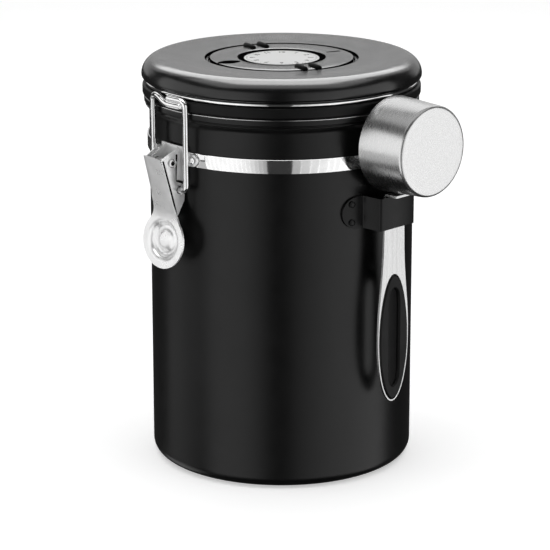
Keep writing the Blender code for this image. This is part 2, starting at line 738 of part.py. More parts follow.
def latch_lever(material, collection, cutters):
    """A folded sheet lever: a sloping front, two side walls, and a dished finger disc below."""
    front_top = (PIVOT_RADIUS + LEVER_FRONT_REACH, PIVOT_HEIGHT + LEVER_FRONT_RISE)
    down = Vector((-math.sin(LEVER_TILT), -math.cos(LEVER_TILT)))
    disc_centre = (PIVOT_RADIUS + DISC_REACH, PIVOT_HEIGHT - DISC_DROP)
    disc_down = Vector((math.sin(DISC_TILT), -math.cos(DISC_TILT)))
    fold = crossing(front_top, down, disc_centre, disc_down)
    face = [front_top, tuple(fold - down * LEVER_BEND)]
    for index in range(1, 4):
        share = index / 4
        start = fold - down * LEVER_BEND * (1 - share) ** 2
        face.append(tuple(start + disc_down * LEVER_BEND * share**2))
    face.append(tuple(fold + disc_down * LEVER_BEND))
    sheet = face + offset_path(face, LEVER_SHEET)[::-1]
    width = 2 * DISC_RADIUS
    obj = slab("latch_lever", [sheet], width, SIDE_VIEW, material, collection)

    neck_rise = math.sqrt(DISC_RADIUS**2 - DISC_NECK_HALF_WIDTH**2)
    neck = disc_centre[1] + neck_rise * math.cos(DISC_TILT)
    flare = DISC_NECK_HALF_WIDTH - LEVER_OUTER
    right = []
    for angle_share in NECK_CORNER_SHARES:
        angle = math.asin(neck_rise / DISC_RADIUS) * angle_share
        reach = DISC_RADIUS * math.cos(angle)
        rise = DISC_RADIUS * math.sin(angle) * math.cos(DISC_TILT)
        right.append((reach, disc_centre[1] + rise))
    for share, length_share in NECK_FLARE_SHARES:
        right.append((LEVER_OUTER + flare * share, neck + LEVER_BEND * length_share))
    right.append((LEVER_OUTER, front_top[1] + LEVER_SHEET))
    shape_place = Matrix.Translation((0, -PIVOT_RADIUS, 0)) @ FRONT_VIEW
    shape = slab("lever_shape", [mirrored(right)], width, shape_place, material, collection)
    combine(obj, shape, "INTERSECT", cutters)

    tilt = Matrix.Rotation(math.pi / 2 - DISC_TILT, 4, "X")
    disc_place = Matrix.Translation((0, -disc_centre[0], disc_centre[1])) @ tilt
    bowl_radius = DISC_RADIUS - DISC_RIM_WIDTH
    clear = rod("lever_bowl", bowl_radius, DISC_RADIUS, disc_place, DIAL_STEPS, material, collection)
    combine(obj, clear, "DIFFERENCE", cutters)
    round_edge = LEVER_SHEET / 2
    moat = bowl_radius - DIMPLE_RADIUS
    outer = [
        (0, -DIMPLE_SINK),
        (DIMPLE_RADIUS * DIMPLE_FLAT_SHARE, -DIMPLE_SINK),
        *((DIMPLE_RADIUS + moat * across_by, -DISC_DEPTH * depth) for across_by, depth in BOWL_SHARES),
        (bowl_radius, -round_edge / 2),
        (bowl_radius + round_edge, 0),
        (DISC_RADIUS - round_edge / 2, 0),
        (DISC_RADIUS, -round_edge / 2),
    ]
    back = offset_path(outer, LEVER_SHEET)
    back[-1] = (DISC_RADIUS - round_edge / 2, -LEVER_SHEET)
    back[0] = (0, back[0][1])
    profile = outer + back[::-1]
    disc = turned("lever_disc", profile, DIAL_STEPS, material, collection, disc_place)
    trim_width = DISC_RADIUS + CUT_OVERRUN
    trim_base = neck_rise
    trim = [
        (-trim_width, trim_base),
        (trim_width, trim_base),
        (trim_width, trim_base + DISC_RADIUS),
        (-trim_width, trim_base + DISC_RADIUS),
    ]
    top_trim = slab("disc_trim", [trim], DISC_RADIUS, disc_place, material, collection)
    combine(disc, top_trim, "DIFFERENCE", cutters)
    combine(obj, disc, "UNION", cutters)

    pivot = Vector((PIVOT_RADIUS, PIVOT_HEIGHT))
    link_pivot = (LINK_PIVOT_RADIUS, LINK_PIVOT_HEIGHT)
    behind = LEVER_SHEET / 2
    inward = Vector((-down.y, down.x)) * -behind
    bend_start = fold - down * LEVER_BEND + inward
    bend_middle = fold + (disc_down - down) * LEVER_BEND / 4
    wall_foot = bend_middle - Vector((behind, 0))
    crest = arc(pivot, LEVER_CREST_RADIUS, math.radians(80), math.radians(123), 4)
    rear = PIVOT_RADIUS - LEVER_REAR
    lobe = LINK_PIVOT_RADIUS - LINK_EAR_RADIUS
    taper = []
    for inward_share, down_share in WALL_TAPER_SHARES:
        reach = lobe + (wall_foot.x - lobe) * inward_share
        taper.append((reach, LINK_PIVOT_HEIGHT + (wall_foot.y - LINK_PIVOT_HEIGHT) * down_share))
    wall = [
        tuple(Vector(front_top) + inward),
        *crest,
        (rear, LINK_PIVOT_HEIGHT + LINK_EAR_RADIUS + LEVER_SHEET),
        *arc(link_pivot, LINK_EAR_RADIUS, math.radians(110), math.pi, 4),
        *taper,
        tuple(wall_foot),
        tuple(bend_start),
    ]
    middle = LEVER_OUTER - LEVER_SHEET / 2 - SEAT_GAP / 4
    for name, side in (("wall_left", -middle), ("wall_right", middle)):
        place = Matrix.Translation((side, 0, 0)) @ SIDE_VIEW
        flap = slab(name, [wall], LEVER_SHEET, place, material, collection)
        combine(obj, flap, "UNION", cutters)
    bore_length = 2 * LEVER_OUTER + 2 * CUT_OVERRUN
    for name, radius, place in (
        ("pivot_bore", PIN_RADIUS + TURNING_GAP, across(*pivot)),
        ("link_bore", LINK_WIRE_RADIUS + TURNING_GAP, across(*link_pivot)),
    ):
        bore = rod(name, radius, bore_length, place, HOLE_STEPS, material, collection)
        combine(obj, bore, "DIFFERENCE", cutters)
    return obj


def latch_link(material, collection):
    """One bent wire: its lower bar turns in the lever, and its two upper ends cross in front of the lid."""
    top = LINK_TOP
    right_top = (LINK_HALF_WIDTH - LINK_BEND, top - LINK_BEND)
    right_bottom = (LINK_HALF_WIDTH - LINK_BEND, LINK_PIVOT_HEIGHT + LINK_BEND)
    left_top = (-right_top[0], right_top[1])
    left_bottom = (-right_bottom[0], right_bottom[1])
    quarter = math.pi / 2
    flat = [
        (LINK_NEAR_END, top),
        *arc(right_top, LINK_BEND, quarter, 0, 4),
        *arc(right_bottom, LINK_BEND, 0, -quarter, 4),
        *arc(left_bottom, LINK_BEND, -quarter, -math.pi, 4),
        *arc(left_top, LINK_BEND, math.pi, quarter, 4),
    ]
    for run_share, drop_share in LINK_END_SHARES:
        run = (LINK_FAR_END - left_top[0]) * run_share
        flat.append((left_top[0] + run, top - LINK_FAR_END_DROP * drop_share))
    points = []
    for side, height in flat:
        lift = (height - LINK_PIVOT_HEIGHT) / (top - LINK_PIVOT_HEIGHT)
        upper = math.sqrt(LINK_TOP_RADIUS**2 - side**2)
        leg = math.sqrt(LINK_TOP_RADIUS**2 - LINK_HALF_WIDTH**2)
        stand = LINK_PIVOT_RADIUS + (leg - LINK_PIVOT_RADIUS) * lift
        if height > (top + LINK_PIVOT_HEIGHT) / 2:
            stand += upper - leg
        points.append((side, -stand, height))
    return wire("latch_link", points, LINK_WIRE_RADIUS, False, material, collection)


def lid_cap(material, collection):
    """A pressed cap: a flat well for the dial, a shallow dish, a round shoulder and a curled lip."""
    shoulder = LID_RADIUS - LID_SHOULDER_RADIUS
    widest = LID_TOP - LID_SHOULDER_RADIUS
    lip = widest - LID_LIP
    outer = [
        (0, WELL_FLOOR),
        (DIAL_WELL_RADIUS, WELL_FLOOR),
        (DIAL_WELL_RADIUS, WELL_TOP - DIAL_EDGE),
        (DIAL_WELL_RADIUS + DIAL_EDGE, WELL_TOP),
    ]
    for share, rise_share in DISH_SHARES:
        edge = shoulder - LID_DISH_WIDTH * (1 - share)
        outer.append((edge, WELL_TOP + LID_DISH * rise_share))
    outer += arc((shoulder, widest), LID_SHOULDER_RADIUS, math.pi / 2, 0, 6)
    outer += arc((LID_RADIUS - lip, widest), lip, 0, -math.pi / 2, 2)[1:]
    outer.append((NECK_RADIUS + 2 * SEAT_GAP, LID_LIP))
    section = shell_section(outer, LID_SHEET)
    section[-1] = (0, section[-1][1])
    return turned("lid_cap", section, BODY_STEPS, material, collection)


def lid_wire_ring(material, collection):
    """One wire round the liner's neck, drawn out at the rear into the bar that the lid turns on."""
    start = math.asin(HINGE_LEG_OFFSET / RING_RADIUS)
    rear = math.pi / 2
    points = []
    for x, y in arc((0, 0), RING_RADIUS, rear + start, rear + 2 * math.pi - start, BODY_STEPS):
        points.append((x, y, RING_HEIGHT))
    corner = HINGE_LEG_OFFSET - RING_BEND
    shelf = HINGE_RADIUS - RING_BEND
    for x, y in arc((corner, shelf), RING_BEND, 0, rear, 3):
        points.append((x, y, RING_HEIGHT))
    for x, y in arc((-corner, shelf), RING_BEND, rear, 2 * rear, 3):
        points.append((x, y, RING_HEIGHT))
    return wire("lid_wire_ring", points, RING_WIRE_RADIUS, True, material, collection)


def lid_hook(material, collection):
    """The short wire in front of the ring that the latch link pulls on."""
    front = -math.pi / 2
    start = front - HOOK_NEAR / HOOK_RADIUS
    end = front + HOOK_FAR / HOOK_RADIUS
    points = [(x, y, RING_HEIGHT) for x, y in arc((0, 0), HOOK_RADIUS, start, end, 4)]
    return wire("lid_hook", points, HOOK_WIRE_RADIUS, False, material, collection)


def hinge_bracket(material, collection, cutters):
    """A plate on the band whose tongue rises behind the rim and curls round the lid's bar."""
    half_band = PLATE_HEIGHT / 2
    place = Matrix.Translation((0, 0, BAND_MIDDLE))
    outline = sector(PLATE_INNER, PLATE_OUTER, HINGE_WING)
    obj = slab("hinge_bracket", [outline], PLATE_HEIGHT, place, material, collection)
    seat = PLATE_INNER + PLATE_THICKNESS * HINGE_SEAT_SHARE
    stand = BODY_RADIUS + RIM_OVERHANG + HINGE_STAND_OFF + PLATE_THICKNESS / 2
    eye = (HINGE_RADIUS, RING_HEIGHT)
    rise = BAND_MIDDLE + half_band
    path = [
        (seat, BAND_MIDDLE - half_band + PLATE_MARGIN),
        (seat, rise),
        (stand, rise + HINGE_STEP_LENGTH),
        (stand, RIM_HEIGHT),
        *arc(eye, HINGE_EYE, math.radians(-100), math.radians(190), 14),
    ]
    tongue = slab(
        "hinge_tongue",
        [strip_outline(path, PLATE_THICKNESS)],
        2 * HINGE_HALF_WIDTH,
        SIDE_VIEW,
        material,
        collection,
    )
    combine(obj, tongue, "UNION", cutters)
    for name, side in (("hinge_hole_a", -HINGE_RIVET_OFFSET), ("hinge_hole_b", HINGE_RIVET_OFFSET)):
        hole = rivet_hole(name, side, BAND_OUTER, BAND_MIDDLE, PLATE_THICKNESS, material, collection)
        combine(obj, hole, "DIFFERENCE", cutters)
    return obj


def lid_gasket(material, collection):
    inner = BODY_RADIUS - GASKET_INSET
    outer = BODY_RADIUS + GASKET_OVERHANG
    profile = [
        (outer - GASKET_EDGE, GASKET_TOP),
        (outer, GASKET_TOP - GASKET_EDGE),
        (outer, GASKET_BOTTOM + GASKET_EDGE),
        (outer - GASKET_EDGE, GASKET_BOTTOM),
        (inner, GASKET_BOTTOM),
        (inner, GASKET_TOP),
    ]
    return turned("lid_gasket", profile, BODY_STEPS, material, collection)


def lid_liner(material, collection):
    """The plastic plug under the cap: a neck for the wire, a seat for the gasket, and a hollow skirt."""
    core = BODY_RADIUS - GASKET_INSET - SEAT_GAP
    plug = BODY_RADIUS - LINER_PLUG_INSET
    bottom = RIM_HEIGHT - LINER_PLUG_DEPTH
    valve_hole = VALVE_RADIUS + SEAT_GAP
    profile = [
        (NECK_RADIUS - LINER_WALL, LINER_TOP),
        (NECK_RADIUS, LINER_TOP - LINER_WALL),
        (NECK_RADIUS, GASKET_TOP + SEAT_GAP),
        (core, GASKET_TOP + SEAT_GAP),
        (core, RIM_HEIGHT),
        (plug, RIM_HEIGHT),
        (plug, bottom + LINER_EDGE),
        (plug - LINER_EDGE, bottom),
        (plug - LINER_WALL, bottom),
        (plug - LINER_WALL, LINER_UNDERSIDE),
        (valve_hole, LINER_UNDERSIDE),
        (valve_hole, LINER_TOP),
    ]
    return turned("lid_liner", profile, BODY_STEPS, material, collection)


def gas_valve(materials, collection, cutters):
    """A one-way valve: a housing with a vented seat, a rubber disc that lifts off it, and a cover."""
    flange_top = LINER_UNDERSIDE - SEAT_GAP
    flange_bottom = flange_top - VALVE_FLANGE_THICKNESS
    seat_bottom = flange_bottom + VALVE_SEAT_RISE
    seat_top = seat_bottom + VALVE_SEAT_THICKNESS
    cover_top = LINER_TOP - SEAT_GAP
    cover_bottom = cover_top - VALVE_COVER_THICKNESS
    bore = VALVE_RADIUS - VALVE_WALL
    stem_hole = VALVE_STEM_RADIUS + TURNING_GAP
    housing_profile = [
        (VALVE_RADIUS, cover_bottom - SEAT_GAP),
        (VALVE_RADIUS, flange_top),
        (VALVE_RADIUS + VALVE_FLANGE_WIDTH, flange_top),
        (VALVE_RADIUS + VALVE_FLANGE_WIDTH, flange_bottom),
        (bore, flange_bottom),
        (bore, seat_bottom),
        (stem_hole, seat_bottom),
        (stem_hole, seat_top),
        (bore, seat_top),
        (bore, cover_bottom - SEAT_GAP),
    ]
    housing = turned("valve_housing", housing_profile, SMALL_STEPS, materials["grey"], collection)
    drill(
        housing,
        VALVE_VENT_RADIUS,
        VALVE_VENT_CIRCLE,
        VALVE_VENTS,
        (seat_bottom + seat_top) / 2,
        VALVE_SEAT_THICKNESS,
        cutters,
    )
    disc_bottom = seat_top + SEAT_GAP
    disc_top = disc_bottom + VALVE_DISC_THICKNESS
    knob_top = seat_bottom - VALVE_LIFT - SEAT_GAP
    knob_bottom = knob_top - VALVE_KNOB_THICKNESS
    disc_profile = [
        (0, disc_top),
        (VALVE_DISC_RADIUS - VALVE_DISC_THICKNESS / 2, disc_top),
        (VALVE_DISC_RADIUS, disc_bottom),
        (VALVE_STEM_RADIUS, disc_bottom),
        (VALVE_STEM_RADIUS, knob_top),
        (VALVE_KNOB_RADIUS, knob_top),
        (VALVE_STEM_RADIUS, knob_bottom),
        (0, knob_bottom),
    ]
    disc = turned("valve_disc", disc_profile, SMALL_STEPS, materials["rubber"], collection)
    cover_profile = [
        (0, cover_top),
        (VALVE_RADIUS, cover_top),
        (VALVE_RADIUS, cover_bottom),
        (0, cover_bottom),
    ]
    cover = turned("valve_cover", cover_profile, SMALL_STEPS, materials["grey"], collection)
    drill(
        cover,
        VALVE_COVER_VENT_RADIUS,
        VALVE_COVER_VENT_CIRCLE,
        VALVE_VENTS,
        (cover_top + cover_bottom) / 2,
        VALVE_COVER_THICKNESS,
        cutters,
    )
    return housing, disc, cover


def dial_bezel(material, collection):
    """The fixed ring round the dial face, with a lip that holds the date ring down."""
    top = WELL_TOP + BEZEL_RISE
    lip_base = WELL_TOP - BEZEL_LIP_DROP + SEAT_GAP
    inner = FACE_RADIUS + SEAT_GAP
    profile = [
        (BEZEL_RADIUS - DIAL_EDGE, top),
        (BEZEL_RADIUS, top - DIAL_EDGE),
        (BEZEL_RADIUS, lip_base),
        (BEZEL_RADIUS - BEZEL_LIP_WIDTH, lip_base),
        (BEZEL_RADIUS - BEZEL_LIP_WIDTH, DIAL_BASE),
        (inner, DIAL_BASE),
        (inner, top - DIAL_EDGE),
        (inner + DIAL_EDGE, top),
    ]
    return turned("dial_bezel", profile, DIAL_STEPS, material, collection)


def dial_face(material, collection):
    top = WELL_TOP + BEZEL_RISE - FACE_SINK
    profile = [(0, top), (FACE_RADIUS, top), (FACE_RADIUS, DIAL_BASE), (0, DIAL_BASE)]
    return turned("dial_face", profile, DIAL_STEPS, material, collection)


def grip_ribs(material, collection):
    """Two pairs of round-ended ribs on opposite sides, as one helper mesh."""
    mesh = bpy.data.meshes.new("grip_ribs")
    work = bmesh.new()
    stretch = RIB_LENGTH / 2 - RIB_RADIUS
    middle = DATE_RING_RADIUS + RIB_OVERHANG - RIB_LENGTH / 2
    height = WELL_TOP + RIB_RADIUS - RIB_SINK
    for half_turn in (0, math.pi):
        for side in (-RIB_SPACING / 2, RIB_SPACING / 2):
            made = bmesh.ops.create_uvsphere(
                work, u_segments=HOLE_STEPS, v_segments=6, radius=RIB_RADIUS
            )
            for vertex in made["verts"]:
                if abs(vertex.co.z) > DIAL_EDGE / 2:
                    vertex.co.z += math.copysign(stretch, vertex.co.z)
            place = Matrix.Translation((side, -middle, height)) @ Matrix.Rotation(
                math.pi / 2, 4, "X"
            )
            turn = bearing_turn(RIB_BEARING + half_turn)
            bmesh.ops.transform(work, matrix=turn @ place, verts=made["verts"])
    work.to_mesh(mesh)
    work.free()
    obj = bpy.data.objects.new("grip_ribs", mesh)
    collection.objects.link(obj)
    return finish_mesh(obj, material, collection)


def date_ring(material, collection, cutters):
    """The plate that turns round the dial, with its ribs, its leaf-shaped pointer and a fine mark."""
    inner = BEZEL_RADIUS - BEZEL_LIP_WIDTH + TURNING_GAP
    step = BEZEL_RADIUS + TURNING_GAP
    profile = [
        (DATE_RING_RADIUS - DIAL_EDGE, WELL_TOP),
        (DATE_RING_RADIUS, WELL_TOP - DIAL_EDGE),
        (DATE_RING_RADIUS, DIAL_BASE),
        (inner, DIAL_BASE),
        (inner, WELL_TOP - BEZEL_LIP_DROP),
        (step, WELL_TOP - BEZEL_LIP_DROP),
        (step, WELL_TOP),
    ]
    obj = turned("date_ring", profile, DIAL_STEPS, material, collection)
    right = []
    for index in range(9):
        share = index / 8
        radius = DATE_RING_RADIUS + CUT_OVERRUN / 2 - POINTER_LENGTH * share
        right.append((POINTER_HALF_WIDTH * math.sin(math.pi * share), -radius))
    leaf_height = WELL_TOP + (CUT_OVERRUN - POINTER_DEPTH) / 2
    leaf_place = bearing_turn(POINTER_BEARING) @ Matrix.Translation((0, 0, leaf_height))
    thickness = POINTER_DEPTH + CUT_OVERRUN
    leaf = slab("pointer_leaf", [mirrored(right)], thickness, leaf_place, material, collection)
    combine(obj, leaf, "DIFFERENCE", cutters)
    near = step + (DATE_RING_RADIUS - step) / 4
    line = [(TAIL_HALF_WIDTH, -near - TAIL_LENGTH), (TAIL_HALF_WIDTH, -near)]
    tail_height = WELL_TOP + (CUT_OVERRUN - TAIL_DEPTH) / 2
    opposite = bearing_turn(POINTER_BEARING + math.pi)
    tail_place = opposite @ Matrix.Translation((0, 0, tail_height))
    thickness = TAIL_DEPTH + CUT_OVERRUN
    tail = slab("pointer_tail", [mirrored(line)], thickness, tail_place, material, collection)
    combine(obj, tail, "DIFFERENCE", cutters)
    combine(obj, grip_ribs(material, collection), "UNION", cutters)
    return obj


def scoop_bracket(material, collection, cutters):
    """A bridge of bent sheet with two round tabs on the wall, open above and below for the handle."""
    outer_face = HANDLE_MIDDLE + GRIP_THICKNESS / 2 + PASSING_GAP + BRACKET_THICKNESS
    front = outer_face - BRACKET_THICKNESS / 2
    wall = BRACKET_HALF_WIDTH - BRACKET_THICKNESS / 2
    seat = BODY_RADIUS + SEAT_GAP + BRACKET_THICKNESS / 2
    reach = BRACKET_HALF_WIDTH + BRACKET_TAB_REACH
    near = math.asin(BRACKET_HALF_WIDTH / seat)
    far = math.asin(reach / seat)
    down = -math.pi / 2
    bend = BRACKET_THICKNESS
    right = [
        *arc((0, 0), seat, down + far, down + near, 5),
        (wall, -math.sqrt(seat**2 - wall**2) - bend),
        *arc((wall - bend, bend - front), bend, 0, down, 3),
    ]
    path = right + [(-x, y) for x, y in right[::-1]]
    outline = strip_outline(path, BRACKET_THICKNESS)
    place = Matrix.Translation((0, 0, BRACKET_MIDDLE))
    obj = slab("scoop_bracket", [outline], BRACKET_HEIGHT, place, material, collection)
    half = BRACKET_HEIGHT / 2
    tab = arc((reach - half, BRACKET_MIDDLE), half - PLATE_MARGIN / 4, down, -down, 10)
    shape_place = Matrix.Translation((0, -BODY_RADIUS, 0)) @ FRONT_VIEW
    shape = slab("bracket_shape", [mirrored(tab)], BODY_RADIUS, shape_place, material, collection)
    combine(obj, shape, "INTERSECT", cutters)
    rivets = []
    side = reach - BRACKET_RIVET_SETBACK
    drop = BRACKET_RIVET_SPACING / 2
    spots = ((-side, drop), (-side, -drop), (side, drop), (side, -drop))
    for number, (across_by, up_by) in enumerate(spots, 1):
        arc_side = math.asin(across_by / BODY_RADIUS) * BODY_RADIUS
        spot = (arc_side, BODY_RADIUS, BRACKET_MIDDLE + up_by, BRACKET_THICKNESS)
        hole = rivet_hole(f"bracket_hole_{number}", *spot, material, collection)
        combine(obj, hole, "DIFFERENCE", cutters)
        rivets.append(rivet(f"bracket_rivet_{number}", *spot, material, collection))
    return [obj, *rivets]


def scoop_cup(material, collection):
    """A shallow round cup on its side, its mouth towards the wall."""
    corner = (CUP_BASE_RADIUS - CUP_CORNER, CUP_DEPTH - CUP_CORNER)
    outer = [
        (0, CUP_DEPTH),
        *arc(corner, CUP_CORNER, math.pi / 2, 0, 3),
        (CUP_RIM_RADIUS, 0),
    ]
    section = shell_section(outer, CUP_WALL)
    section[-1] = (0, section[-1][1])
    section[len(outer)] = (CUP_RIM_RADIUS - CUP_WALL, 0)
    stand = Matrix.Translation((0, -CUP_RIM_REACH, CUP_HEIGHT))
    place = stand @ Matrix.Rotation(math.pi / 2, 4, "X")
    return turned("scoop_cup", section, DIAL_STEPS, material, collection, place)


def grip_outline(clearance):
    """The oval of the grip, or of its window in the handle, widened by a clearance."""
    half_width = HANDLE_HALF_WIDTH - GRIP_FRAME + clearance
    centre = (0, HANDLE_WIDEST)
    lower = HANDLE_END_LENGTH - GRIP_FRAME + clearance
    upper = GRIP_UPPER_LENGTH + clearance
    quarter = math.pi / 2
    right = half_ellipse(centre, half_width, lower, -quarter, 0, 9)
    right += half_ellipse(centre, half_width, upper, 0, quarter, 9)[1:]
    right[0] = (0, right[0][1])
    right[-1] = (0, right[-1][1])
    return mirrored(right)


def scoop_handle(material, collection, cutters):
    """A flat strip that widens to a frame round the grip, and bends out at the top to carry the cup."""
    bottom = HANDLE_WIDEST - HANDLE_END_LENGTH
    tab_end = HANDLE_MIDDLE + HANDLE_SHEET / 2 + HANDLE_TAB_LENGTH
    bend = (HANDLE_MIDDLE + HANDLE_BEND, TAB_MIDDLE - HANDLE_BEND)
    path = [
        (HANDLE_MIDDLE, bottom - CUT_OVERRUN),
        *arc(bend, HANDLE_BEND, math.pi, math.pi / 2, 4),
        (tab_end, TAB_MIDDLE),
    ]
    sheet = strip_outline(path, HANDLE_SHEET)
    width = 2 * HANDLE_HALF_WIDTH + 2 * CUT_OVERRUN
    obj = slab("scoop_handle", [sheet], width, SIDE_VIEW, material, collection)
    centre = (0, HANDLE_WIDEST)
    right = half_ellipse(centre, HANDLE_HALF_WIDTH, HANDLE_END_LENGTH, -math.pi / 2, 0, 10)
    right[0] = (0, right[0][1])
    spread = HANDLE_HALF_WIDTH - HANDLE_TOP_HALF_WIDTH
    for length_share, spread_share in HANDLE_TAPER_SHARES:
        half_width = HANDLE_TOP_HALF_WIDTH + spread * spread_share
        right.append((half_width, HANDLE_WIDEST + HANDLE_TAPER_LENGTH * length_share))
    right.append((HANDLE_TOP_HALF_WIDTH, TAB_MIDDLE + HANDLE_SHEET))
    shape_place = Matrix.Translation((0, -HANDLE_MIDDLE, 0)) @ FRONT_VIEW
    depth = 2 * HANDLE_TAB_LENGTH + 4 * HANDLE_SHEET
    shape = slab("handle_shape", [mirrored(right)], depth, shape_place, material, collection)
    combine(obj, shape, "INTERSECT", cutters)
    window_outline = grip_outline(SEAT_GAP)
    depth = HANDLE_SHEET + 2 * CUT_OVERRUN
    window = slab("handle_window", [window_outline], depth, shape_place, material, collection)
    combine(obj, window, "DIFFERENCE", cutters)
    return obj


def handle_grip(material, collection):
    """A soft oval ring in the handle's window, thicker than the sheet and rounded at its edges."""
    outer = grip_outline(0)
    low = HANDLE_WIDEST - HANDLE_END_LENGTH + GRIP_FRAME + GRIP_SLOT_MARGIN
    high = HANDLE_WIDEST + GRIP_UPPER_LENGTH - GRIP_SLOT_MARGIN
    half_width = GRIP_SLOT_HALF_WIDTH
    quarter = math.pi / 2
    end = GRIP_SLOT_END
    right = half_ellipse((0, low + end), half_width, end, -quarter, 0, 9)
    right += half_ellipse((0, high - end), half_width, end, 0, quarter, 9)[1:]
    right[0] = (0, right[0][1])
    right[-1] = (0, right[-1][1])
    slot = mirrored(right)
    half = GRIP_THICKNESS / 2
    mesh = bpy.data.meshes.new("handle_grip")
    work = bmesh.new()
    rings = []
    for near, far in zip(slot, outer):
        side = (Vector(far) - Vector(near)).normalized() * GRIP_EDGE
        section = [
            (Vector(near), half - GRIP_EDGE),
            (Vector(near) + side, half),
            (Vector(far) - side, half),
            (Vector(far), half - GRIP_EDGE),
            (Vector(far), GRIP_EDGE - half),
            (Vector(far) - side, -half),
            (Vector(near) + side, -half),
            (Vector(near), GRIP_EDGE - half),
        ]
        ring = []
        for point, out in section:
            ring.append(work.verts.new((point.x, -HANDLE_MIDDLE - out, point.y)))
        rings.append(ring)
    for index, ring in enumerate(rings):
        following = rings[(index + 1) % len(rings)]
        for corner in range(len(ring)):
            beyond = (corner + 1) % len(ring)
            work.faces.new(
                (ring[corner], ring[beyond], following[beyond], following[corner])
            )
    bmesh.ops.recalc_face_normals(work, faces=work.faces)
    work.to_mesh(mesh)
    work.free()
    obj = bpy.data.objects.new("handle_grip", mesh)
    collection.objects.link(obj)
    return finish_mesh(obj, material, collection)


def main():
    clear_scene()
    parts = new_collection("coffee_canister")
    cutters = new_collection("cutters")
    cutters.hide_render = True
    black = new_material("satin_black_paint", (0.012, 0.012, 0.013), 0.38, 0.0)
    grey_top = new_material("lid_paint", (0.014, 0.014, 0.015), 0.30, 0.0)
    polished = new_material("polished_steel", (0.80, 0.80, 0.80), 0.10, 1.0)
    pressed = new_material("pressed_steel", (0.68, 0.68, 0.67), 0.24, 1.0)
    brushed = new_material("brushed_steel", (0.62, 0.62, 0.61), 0.32, 1.0)
    plastic = new_material("black_plastic", (0.016, 0.016, 0.017), 0.42, 0.0)
    rubber = new_material("black_silicone", (0.010, 0.010, 0.011), 0.35, 0.0)
    dial_white = new_material("dial_white", (0.82, 0.82, 0.81), 0.50, 0.0)
    valve_grey = new_material("valve_plastic", (0.30, 0.30, 0.30), 0.50, 0.0)

    canister_body(black, parts)
    neck_band(polished, parts)
    latch_anchor(pressed, parts, cutters)
    for number, side in ((1, -ANCHOR_RIVET_OFFSET), (2, ANCHOR_RIVET_OFFSET)):
        spot = (side, BAND_OUTER, BAND_MIDDLE, PLATE_THICKNESS)
        rivet(f"anchor_rivet_{number}", *spot, polished, parts)
    latch_pin(polished, parts)
    lever = latch_lever(pressed, parts, cutters)
    link = latch_link(polished, parts)

    hinge = [hinge_bracket(pressed, parts, cutters)]
    for number, side in ((1, -HINGE_RIVET_OFFSET), (2, HINGE_RIVET_OFFSET)):
        spot = (side, BAND_OUTER, BAND_MIDDLE, PLATE_THICKNESS)
        hinge.append(rivet(f"hinge_rivet_{number}", *spot, polished, parts))
    turn_to(hinge, math.pi)

    lid = [
        lid_cap(grey_top, parts),
        lid_wire_ring(polished, parts),
        lid_hook(polished, parts),
        lid_gasket(rubber, parts),
        lid_liner(plastic, parts),
        dial_bezel(plastic, parts),
        dial_face(dial_white, parts),
        date_ring(plastic, parts, cutters),
        *gas_valve({"grey": valve_grey, "rubber": rubber}, parts, cutters),
    ]

    turn_to(scoop_bracket(black, parts, cutters), SCOOP_BEARING)
    scoop = [
        scoop_cup(brushed, parts),
        scoop_handle(brushed, parts, cutters),
        handle_grip(rubber, parts),
    ]
    turn_to(scoop, SCOOP_BEARING)

    link_axis = (0, -LINK_PIVOT_RADIUS, LINK_PIVOT_HEIGHT)
    carry(joint_empty("lid_hinge_axis", (0, HINGE_RADIUS, RING_HEIGHT), parts), lid)
    carry(joint_empty("latch_lever_axis", (0, -PIVOT_RADIUS, PIVOT_HEIGHT), parts), [lever])
    carry(joint_empty("latch_link_axis", link_axis, parts), [link])
    carry(joint_empty("scoop_lift_axis", (0, 0, BRACKET_TOP), parts), scoop)
    bpy.context.view_layer.update()


main()
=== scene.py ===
"""Coffee canister: visible surfaces, materials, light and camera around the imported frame."""

import math

import bmesh
import bpy
from mathutils import Matrix, Vector


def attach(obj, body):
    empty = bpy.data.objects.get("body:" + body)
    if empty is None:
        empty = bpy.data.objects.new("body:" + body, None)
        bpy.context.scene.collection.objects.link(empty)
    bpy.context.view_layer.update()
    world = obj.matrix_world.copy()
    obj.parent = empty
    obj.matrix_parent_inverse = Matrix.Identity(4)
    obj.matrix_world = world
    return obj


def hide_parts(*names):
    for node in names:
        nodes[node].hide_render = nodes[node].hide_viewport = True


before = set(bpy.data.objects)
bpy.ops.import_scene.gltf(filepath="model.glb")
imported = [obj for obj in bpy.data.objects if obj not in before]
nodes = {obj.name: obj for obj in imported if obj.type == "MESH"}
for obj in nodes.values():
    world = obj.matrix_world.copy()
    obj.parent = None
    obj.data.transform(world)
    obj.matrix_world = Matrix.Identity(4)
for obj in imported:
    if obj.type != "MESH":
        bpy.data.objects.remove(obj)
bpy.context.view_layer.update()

MM = 0.001
TINY = 1e-6
CREASE = math.radians(32)
FRONT = -math.pi / 2
QUARTER = math.pi / 2
FULL_TURN = 2 * math.pi
SIDES = (("left", -1), ("right", 1))

# Lengths below are in millimetres, and heights are above the table. A radius (R) or a distance (RHO)
# is from the canister's axis, except for the pin, the ribs and the cup, which have their own axes.

